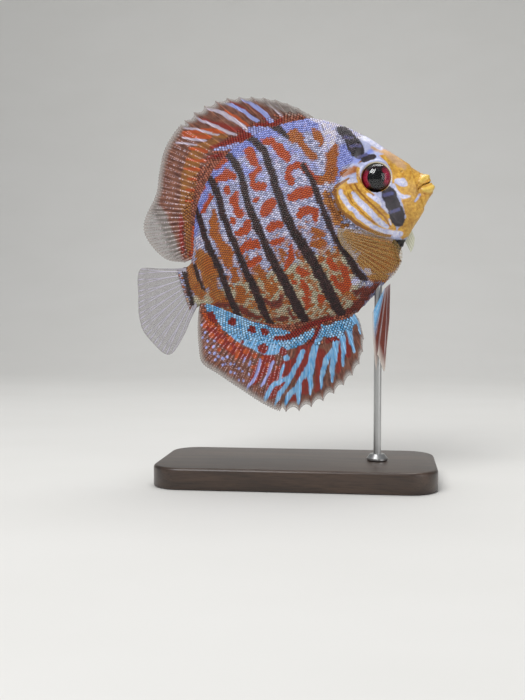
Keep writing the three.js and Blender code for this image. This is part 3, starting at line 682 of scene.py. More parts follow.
def level_frame(points):
    """Points of the nose-up pose, in metres, in the fish's level frame in millimetres."""
    x, y, z = np.moveaxis(np.asarray(points, float) / MM, -1, 0)
    c, s = math.cos(PITCH), math.sin(PITCH)
    return np.stack([x * c + (z - FISH_HEIGHT) * s, y, (z - FISH_HEIGHT) * c - x * s], -1)


def scale_piece(name, roots, outward, lie, size, uv, material, layers):
    """A piece of coat with one plate on each root, painted with the markings under it."""
    seed_mesh = bpy.data.meshes.new("roots")
    seed_mesh.from_pydata(to_world(roots).tolist(), [], [])
    chance = np.random.default_rng(len(roots)).random(len(roots))
    vector_attribute(seed_mesh, "outward", turned(outward))
    vector_attribute(seed_mesh, "lie", turned(lie))
    vector_attribute(seed_mesh, "size", size * MM * (0.94 + 0.12 * chance[:, None]))
    vector_attribute(seed_mesh, "root_uv", np.column_stack([uv, np.zeros(len(uv))]))
    vector_attribute(seed_mesh, "root_place", roots)
    seed_mesh.attributes.new("chance", "FLOAT", "POINT").data.foreach_set("value", chance)
    seeds = show("seeds", seed_mesh)
    modifier = seeds.modifiers.new("scales", "NODES")
    modifier.node_group = scaled
    values = {"Plate": plate, "Patch": PATCH, "Material": material}
    for item in scaled.interface.items_tree:
        if item.in_out == "INPUT" and item.name in values:
            modifier[item.identifier] = values[item.name]
    bpy.context.view_layer.update()
    depsgraph = bpy.context.evaluated_depsgraph_get()
    mesh = bpy.data.meshes.new_from_object(seeds.evaluated_get(depsgraph), depsgraph=depsgraph)
    bpy.data.objects.remove(seeds)
    at_root = np.empty(len(mesh.vertices) * 3, np.float32)
    mesh.attributes["root_place"].data.foreach_get("vector", at_root)
    corner = np.empty(len(mesh.vertices) * 3, np.float32)
    mesh.vertices.foreach_get("co", corner)
    for spare in ("outward", "lie", "size", "root_uv", "patch", "root_place"):
        if spare in mesh.attributes:
            mesh.attributes.remove(mesh.attributes[spare])
    at_root = at_root.reshape(-1, 3)
    paint(mesh, at_root + SHARE_OF_OWN_PLACE * (level_frame(corner.reshape(-1, 3)) - at_root), layers)
    piece = bpy.data.objects.new(name, mesh)
    bpy.context.scene.collection.objects.link(piece)
    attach(piece, "root")


# Wet scale: clear bone over the skin's colours. Its middle is painted a little brighter, as its shine, and
# its rim dark brown, as painted shade where the scales overlap, so the coat looks like a fine mesh, and
# each scale is a little paler or darker than the next.
def scale_material(name, ground, ground_mottled, stack):
    """The material of scales over a ground and its stack of pigments."""
    material = new_material(name)
    tree = material.node_tree
    chance = add(tree, "ShaderNodeAttribute", attribute_name="chance").outputs["Fac"]
    rim = add(tree, "ShaderNodeAttribute", attribute_name="rim").outputs["Fac"]
    colour = pigment_colour(tree, ground, ground_mottled, stack, chance)
    varied = add(tree, "ShaderNodeMapRange", {
        "Value": chance, "To Min": 0.98, "To Max": 1.22}).outputs["Result"]
    bright = add(tree, "ShaderNodeVectorMath", {0: colour, "Scale": varied}, operation="SCALE").outputs[0]
    # Painted shade: the rim's colour is multiplied down to a dark brown, as the gaps between scales fall in
    # shade.
    rim_shade = add(tree, "ShaderNodeVectorMath", {0: colour, 1: (0.34, 0.22, 0.17)},
                operation="MULTIPLY").outputs[0]
    at_rim = add(tree, "ShaderNodeMapRange", {
        "Value": rim, "From Min": 0.25, "From Max": 0.92}).outputs["Result"]
    shaded = add(tree, "ShaderNodeMix", {0: at_rim, 6: bright, 7: rim_shade}, data_type="RGBA").outputs[2]
    shader = add(tree, "ShaderNodeBsdfPrincipled", {
        "Base Color": shaded, "Roughness": 0.38, "Specular IOR Level": 0.4, "Coat Weight": 0.12,
        "Coat Roughness": 0.2})
    add(tree, "ShaderNodeOutputMaterial", {"Surface": shader.outputs[0]})
    return material


wet_scale = scale_material("wet fish scale", "#8c94be", "#d2d6f2", BODY_PIGMENTS)
ring_run = np.concatenate([np.zeros((len(half_skin), 1)),
                           np.cumsum(np.linalg.norm(np.diff(half_skin, axis=1), axis=-1), axis=1)], 1)
skin_normals = ring_normals(half_skin)
skin_lie = -np.gradient(half_skin, axis=0)
head_side = np.zeros(canvas_x.shape)
fill(head_side, [(30, 70), (27, 40), *[(x + 0.4, z) for x, z in GILL_EDGE],
                 (48, -24), (40, -31), (36, -40), (80, -40), (80, 70)], 0.3)
breast = np.zeros(canvas_x.shape)
fill(breast, [(20, -12), (30, -12), (41, -17), (46, -24), (40, -36), (26, -42), (22, -30)], 0.3)


def between(field, i0, a, j0, b):
    """A field of the rings, between ring i0 and the next and between points j0 and the next."""
    near = field[i0, j0] * (1 - b) + field[i0, j0 + 1] * b
    return near * (1 - a) + (field[i0 + 1, j0] * (1 - b) + field[i0 + 1, j0 + 1] * b) * a


def coat(name, step, across, keep, side):
    """Scales on one side where keep says so, in rows a step apart, each set between those before it."""
    rows = np.arange(TAIL_ROOT - 1, SNOUT, step)
    ring_at = np.interp(rows, smooth_rings[:, 0, 0], np.arange(len(half_skin)))
    roots, outward, lie, uv = [], [], [], []
    for n, i in enumerate(ring_at):
        i0 = min(int(i), len(half_skin) - 2)
        a = i - i0
        run = ring_run[i0] * (1 - a) + ring_run[i0 + 1] * a
        spots = np.arange(-100, 100) * across + (n % 2) * across / 2
        spots = spots[np.abs(spots) < run[-1] / 2 - EDGE_GAP]
        j = (HALF_RING - 1) * (0.5 + spots / run[-1])
        j0 = np.clip(j.astype(int), 0, HALF_RING - 2)
        b = (j - j0)[:, None]
        roots.append(between(half_skin, i0, a, j0, b))
        outward.append(between(skin_normals, i0, a, j0, b))
        lie.append(between(skin_lie, i0, a, j0, b))
        uv.append(np.stack([np.full(len(j), uv_share(n / len(rows))), uv_share(j / (HALF_RING - 1))], -1))
    roots, outward, lie, uv = (np.concatenate(part) for part in (roots, outward, lie, uv))
    kept = keep(roots)
    roots, outward, lie, uv = roots[kept], outward[kept], lie[kept], uv[kept]
    lie /= np.linalg.norm(lie, axis=1, keepdims=True)
    outward /= np.linalg.norm(outward, axis=1, keepdims=True)
    if side == "left":
        roots, outward, lie = (part * (1, -1, 1) for part in (roots, outward, lie))
    size = np.tile((step * PLATE_ROWS_LONG, across * PLATE_OVERLAP, step * PLATE_HEIGHT), (len(roots), 1))
    scale_piece(name, roots - ROOT_SUNK * outward, outward, lie, size, uv, wet_scale, body_layers)


def on_flank(places):
    """Where the larger scales lie."""
    behind_head = (as_seen(head_side, places) < 0.5) & (as_seen(breast, places) < 0.5)
    return behind_head & (as_seen(bare, places) < 0.4)


def on_head(places):
    """Where the finer scales of nape and breast lie."""
    finer = (as_seen(head_side, places) > 0.5) | (as_seen(breast, places) > 0.5)
    return finer & (as_seen(bare, places) < 0.4) & (as_seen(pigments["pit"], places) < 0.2)


for side in ("right", "left"):
    coat(f"scales_rear_{side}", ROW_STEP, SCALE_GAP,
         lambda places: on_flank(places) & (places[:, 0] < PIECES_MEET), side)
    coat(f"scales_front_{side}", ROW_STEP, SCALE_GAP,
         lambda places: on_flank(places) & (places[:, 0] >= PIECES_MEET), side)
    coat(f"scales_head_{side}", FINE_ROW_STEP, FINE_SCALE_GAP, on_head, side)

# Eyes, each a dark ball with a wine-red iris round a wide pupil, under a clear dome. The iris is
# blackish above and below, where the bar through the eye passes. A ring of bare skin round the
# ball covers the socket's edge. It is cream in front and above, and yellow behind and below.
EYE_SIDES = 72
BALL = [(0, 4.35), (1.5, 4.25), (2.8, 3.85), (3.6, 3.3), (3.9, 2.8), (4.05, 3.05), (5.2, 2.85), (6.0, 2.35),
        (6.6, 1.7), (7.0, 0.8), (7.05, 0), (6.0, -2.4), (3.6, -4.0), (0, -4.6)]
DOME = [(0, 5.2), (1.8, 5.03), (3.6, 4.48), (5.0, 3.7), (6.0, 2.8), (6.7, 1.75), (7.05, 0.6), (6.9, 0.55),
        (6.5, 1.72), (5.85, 2.68), (4.9, 3.54), (3.55, 4.3), (1.8, 4.85), (0, 5.02)]
RIM = [(8.1, -2.2), (6.65, -2.2), (6.65, -0.9), (6.8, -0.15), (7.1, 0.25), (7.45, 0.38), (7.8, 0.3), (8.1, 0),
       (8.35, -0.5)]


def turned_shape(profile, closed, height):
    """Points and faces of a profile of (radius, height) turned round the eye's axis, poles closed."""
    points, faces, rows = [], [], []
    for radius, up in profile:
        rows.append(list(range(len(points), len(points) + (1 if radius == 0 else EYE_SIDES))))
        for n in range(len(rows[-1])):
            turn = 2 * math.pi * n / EYE_SIDES
            x, z = EYE["x"] + radius * math.cos(turn), EYE["z"] + radius * math.sin(turn)
            points.append((x, height(x, z) + up, z))
    for low, high in zip(rows, rows[1:] + (rows[:1] if closed else [])):
        for n in range(EYE_SIDES):
            m = (n + 1) % EYE_SIDES
            corners = (low[n % len(low)], high[n % len(high)], high[m % len(high)], low[m % len(low)])
            faces.append(tuple(dict.fromkeys(corners)))
    return np.array(points, float), faces


def cheek(x, z):
    """How far the smooth side of the head stands out from the middle plane at one place."""
    ring_x = smooth_rings[:, 0, 0]
    near = min(int(np.interp(x, ring_x, np.arange(len(ring_x)))), len(ring_x) - 2)
    a = (x - ring_x[near]) / (ring_x[near + 1] - ring_x[near])
    return float(sum(w * np.interp(-z, -smooth_rings[r, :, 2], -smooth_rings[r, :, 1])
                     for r, w in ((near, 1 - a), (near + 1, a))))


# Iris: fine red fibres that run out from the pupil, dull, because the dome over it has the shine.
eyeball = new_material("iris under the eye's surface")
tree = eyeball.node_tree
out = add(tree, "ShaderNodeAttribute", attribute_name="out").outputs["Fac"]
dusk = add(tree, "ShaderNodeAttribute", attribute_name="dusk").outputs["Fac"]
flow = add(tree, "ShaderNodeAttribute", attribute_name="flow").outputs["Vector"]
fibres = add(tree, "ShaderNodeTexNoise", {"Vector": flow, "Scale": 1.0, "Detail": 3.0}).outputs["Fac"]
red = add(tree, "ShaderNodeMix", {0: fibres, 6: linear("#6a0c20"), 7: linear("#e8305a")},
          data_type="RGBA").outputs[2]
shadowed = add(tree, "ShaderNodeMix", {0: dusk, 6: red, 7: linear("#1c1013")}, data_type="RGBA").outputs[2]
edge = add(tree, "ShaderNodeMapRange", {"Value": out, "From Min": 6.2, "From Max": 6.9}).outputs["Result"]
ringed = add(tree, "ShaderNodeMix", {0: edge, 6: shadowed, 7: linear("#241a1b")}, data_type="RGBA").outputs[2]
hole = add(tree, "ShaderNodeMapRange", {"Value": out, "From Min": 4.15, "From Max": 3.85}).outputs["Result"]
seen = add(tree, "ShaderNodeMix", {0: hole, 6: ringed, 7: linear("#040406")}, data_type="RGBA").outputs[2]
shader = add(tree, "ShaderNodeBsdfPrincipled", {
    "Base Color": seen, "Roughness": 0.3, "Specular IOR Level": 0.08})
add(tree, "ShaderNodeOutputMaterial", {"Surface": shader.outputs[0]})

# Cornea: clear and wet, so it gives the eye one small, sharp highlight.
clear_dome = new_material("clear wet cornea")
tree = clear_dome.node_tree
place = add(tree, "ShaderNodeTexCoord").outputs["Object"]
wet = add(tree, "ShaderNodeTexNoise", {"Vector": place, "Scale": 900.0})
roughness = add(tree, "ShaderNodeMapRange", {"Value": wet.outputs["Fac"], "To Min": 0.01, "To Max": 0.04})
shader = add(tree, "ShaderNodeBsdfPrincipled", {
    "Base Color": linear("#fbfcff"), "Roughness": roughness.outputs["Result"], "IOR": 1.376,
    "Transmission Weight": 1.0})
add(tree, "ShaderNodeOutputMaterial", {"Surface": shader.outputs[0]})

# Bare skin round the eye: smooth and wet, with a shine that runs round the ring.
rim_skin = new_material("bare wet skin round the eye")
tree = rim_skin.node_tree
place = add(tree, "ShaderNodeTexCoord").outputs["Object"]
fine = add(tree, "ShaderNodeTexNoise", {"Vector": place, "Scale": 900.0, "Detail": 2.0}).outputs["Fac"]
warm = add(tree, "ShaderNodeAttribute", attribute_name="warm").outputs["Fac"]
dark = add(tree, "ShaderNodeAttribute", attribute_name="dusk").outputs["Fac"]
gold = add(tree, "ShaderNodeMix", {0: fine, 6: linear("#d8a02c"), 7: linear("#b9801f")},
           data_type="RGBA").outputs[2]
cream = add(tree, "ShaderNodeMix", {0: fine, 6: linear("#f3ead2"), 7: linear("#d9c89c")},
            data_type="RGBA").outputs[2]
both = add(tree, "ShaderNodeMix", {0: warm, 6: cream, 7: gold}, data_type="RGBA").outputs[2]
barred = add(tree, "ShaderNodeMix", {0: dark, 6: both, 7: linear("#3a2c28")}, data_type="RGBA").outputs[2]
shader = add(tree, "ShaderNodeBsdfPrincipled", {"Base Color": barred, "Roughness": 0.3, "Coat Weight": 0.4,
                                                "Coat Roughness": 0.12})
add(tree, "ShaderNodeOutputMaterial", {"Surface": shader.outputs[0]})

for side, across in (("right", -1), ("left", 1)):
    for name, profile, closed, height, finish in (
        ("eyeball", BALL, False, lambda x, z: EYE["y"], eyeball),
        ("cornea", DOME, False, lambda x, z: EYE["y"], clear_dome),
        ("eye_rim", RIM, True, cheek, rim_skin),
    ):
        points, faces = turned_shape(profile, closed, height)
        if across > 0:
            faces = [face[::-1] for face in faces]
        mesh = bpy.data.meshes.new(name)
        mesh.from_pydata(to_world(points * (1, across, 1)).tolist(), [], faces)
        mesh.shade_smooth()
        off = points[:, [0, 2]] - (EYE["x"], EYE["z"])
        radius, turn = np.hypot(*off.T), np.arctan2(off[:, 1], off[:, 0])
        # The bar through the eye leans a little. It darkens the iris above and below, and the ring
        # only at its lowest point.
        upright = np.abs(np.sin(turn + 0.2))
        dusk = np.clip((upright - 0.5) / 0.3, 0, 1)
        if name == "eye_rim":
            dusk = np.clip((-np.sin(turn + 0.35) - 0.9) / 0.06, 0, 1)
        mesh.attributes.new("out", "FLOAT", "POINT").data.foreach_set("value", radius)
        mesh.attributes.new("dusk", "FLOAT", "POINT").data.foreach_set("value", dusk)
        mesh.attributes.new("warm", "FLOAT", "POINT").data.foreach_set(
            "value", np.clip(0.5 - 1.3 * np.sin(turn + 0.9), 0, 1))
        vector_attribute(mesh, "flow", np.stack([7 * np.cos(turn), 7 * np.sin(turn), radius * 0.5], -1))
        piece = show(f"{name}_{side}", mesh, finish)
        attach(piece, "root")
        if name == "eyeball":
            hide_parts(f"eye_{side}")

# Fins, thin webs of skin over fine rays, each in one closed sheet. Spines stiffen the front of the
# dorsal and anal fins, and each soft ray behind them splits in two towards its tip. The web is
# scaled and thick at its root, and thin and see-through at its edge.
RAY_SAMPLES = (-0.5, -0.34, -0.22, -0.13, -0.055, 0.0, 0.055, 0.13, 0.22, 0.34)
SPLIT_FROM = 0.45
RAY_REACH = 0.3
RAY_TAPER = 0.12
SHEATH = 0.9
SHEATH_FADE = 3.5
THIN_EDGE = 0.8


def fin_sheet(root, tip, lean, spines, soft, spine_share, rows, side=(0, 1, 0), notch=0.0, sheath=SHEATH,
              ridge=0.26, web=0.09, wave=0.0):
    """A fin between root and tip lines of (x, z, y) points, as points, faces and attributes.

    Lean pairs shares of the root line with the shares of the tip line that their rays run to. Sheath,
    ridge and web are half the thickness, in millimetres, that the root, a ray and the web have.
    """
    root_line, tip_line = (smooth([(*p, 0)[:3] for p in line], 0.3) for line in (root, tip))
    centre = [(k + 0.5) * spine_share / spines for k in range(spines)]
    centre += [spine_share + (k + 0.5) * (1 - spine_share) / soft for k in range(soft)]
    gap = [spine_share / spines] * spines + [(1 - spine_share) / soft] * soft
    share = np.array([c + a * g for c, g in zip(centre, gap) for a in RAY_SAMPLES] + [1.0])
    ray_at = np.repeat(centre, len(RAY_SAMPLES)).tolist() + [centre[-1]]
    ray_gap = np.repeat(gap, len(RAY_SAMPLES)).tolist() + [gap[-1]]
    is_soft = np.repeat(np.arange(spines + soft) >= spines, len(RAY_SAMPLES)).tolist() + [True]
    ray_at, ray_gap, is_soft = (np.array(part)[:, None] for part in (ray_at, ray_gap, is_soft))
    root_share = np.interp(share, [t for _, t in lean], [r for r, _ in lean])

    def on_line(line, at):
        columns = [np.interp(at * (len(line) - 1), np.arange(len(line)), column) for column in line.T]
        return np.stack(columns, -1)

    start, end = on_line(root_line, root_share), on_line(tip_line, share)
    reach = 1 - notch * np.abs(np.sin(math.pi * (share[:, None] - ray_at) / ray_gap)) ** 0.8
    soft_wave = 0.5 - 0.5 * np.cos(4 * math.pi * (share[:, None] - ray_at) / ray_gap)
    reach = np.where(is_soft, 1 - 0.25 * notch * soft_wave, reach)
    v = np.linspace(0, 1, rows)[None, :] * reach
    middle = start[:, None] * (1 - v[..., None]) + end[:, None] * v[..., None]
    middle = middle[..., [0, 2, 1]]
    length = np.linalg.norm(end - start, axis=-1)[:, None]
    across = np.linalg.norm(np.gradient(middle, axis=0), axis=-1) / np.gradient(share)[:, None]
    split = np.clip((v - SPLIT_FROM) / (1 - SPLIT_FROM), 0, 1) * np.where(is_soft, 0.25, 0)
    off = (share[:, None] - ray_at) / ray_gap
    away = np.minimum(np.abs(off - split), np.abs(off + split)) * ray_gap * across
    ray = np.exp(-(away / (RAY_REACH - RAY_TAPER * v)) ** 2)
    from_root, to_edge = v * length, (reach - v) * length
    half = web * (1 - 0.4 * v) + ridge * (1 - 0.7 * v) * ray + sheath * np.exp(-from_root / SHEATH_FADE)
    half *= 0.35 + 0.65 * np.clip(to_edge / THIN_EDGE, 0, 1)
    side = np.array(side, float) / np.linalg.norm(side)
    ripple = wave * v**1.5 * (np.sin(share[:, None] * 17 + 2.2 * v) + 0.4 * np.sin(share[:, None] * 41 + 1))
    middle += ripple[..., None] * side
    points = np.concatenate([(middle - half[..., None] * side).reshape(-1, 3),
                             (middle + half[..., None] * side).reshape(-1, 3)])
    columns, count = len(share), len(share) * rows
    faces = []
    for i in range(columns - 1):
        for j in range(rows - 1):
            a, b, c, d = i * rows + j, i * rows + j + 1, (i + 1) * rows + j + 1, (i + 1) * rows + j
            faces += [(a, b, c, d), (count + d, count + c, count + b, count + a)]
    border = [i * rows for i in range(columns)] + [(columns - 1) * rows + j for j in range(1, rows)]
    border += [i * rows + rows - 1 for i in range(columns - 2, -1, -1)] + list(range(rows - 2, 0, -1))
    for a, b in zip(border, border[1:] + border[:1]):
        faces.append((a, b, count + b, count + a))
    flow = np.stack([(share[:, None] * len(centre)) * np.ones_like(v), from_root, np.zeros_like(v)], -1)
    shades = {"ray": ray, "from_root": from_root, "to_edge": to_edge, "soft": is_soft * np.ones_like(v),
              "out": v}
    return {"points": points, "faces": faces, "flow": flow, "shades": shades, "side": side, "start": start,
            "end": end}


def fin_piece(name, fin, material, layers=None, replaced=None):
    """A shown fin, facing outwards, with its attributes."""
    points, faces = fin["points"], fin["faces"]
    on_far_sheet = faces[len(faces) // 4 * 2]
    a, b, c = (points[corner] for corner in on_far_sheet[:3])
    if np.dot(np.cross(b - a, c - b), fin["side"]) > 0:
        faces = [face[::-1] for face in faces]
    mesh = bpy.data.meshes.new(name)
    mesh.from_pydata(to_world(points).tolist(), [], faces)
    mesh.shade_smooth()
    for key, value in fin["shades"].items():
        mesh.attributes.new(key, "FLOAT", "POINT").data.foreach_set("value", np.tile(value.ravel(), 2))
    vector_attribute(mesh, "flow", np.tile(fin["flow"].reshape(-1, 3), (2, 1)))
    if layers:
        paint(mesh, points, layers)
    piece = show(name, mesh, material)
    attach(piece, "root")
    if replaced:
        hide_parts(replaced)


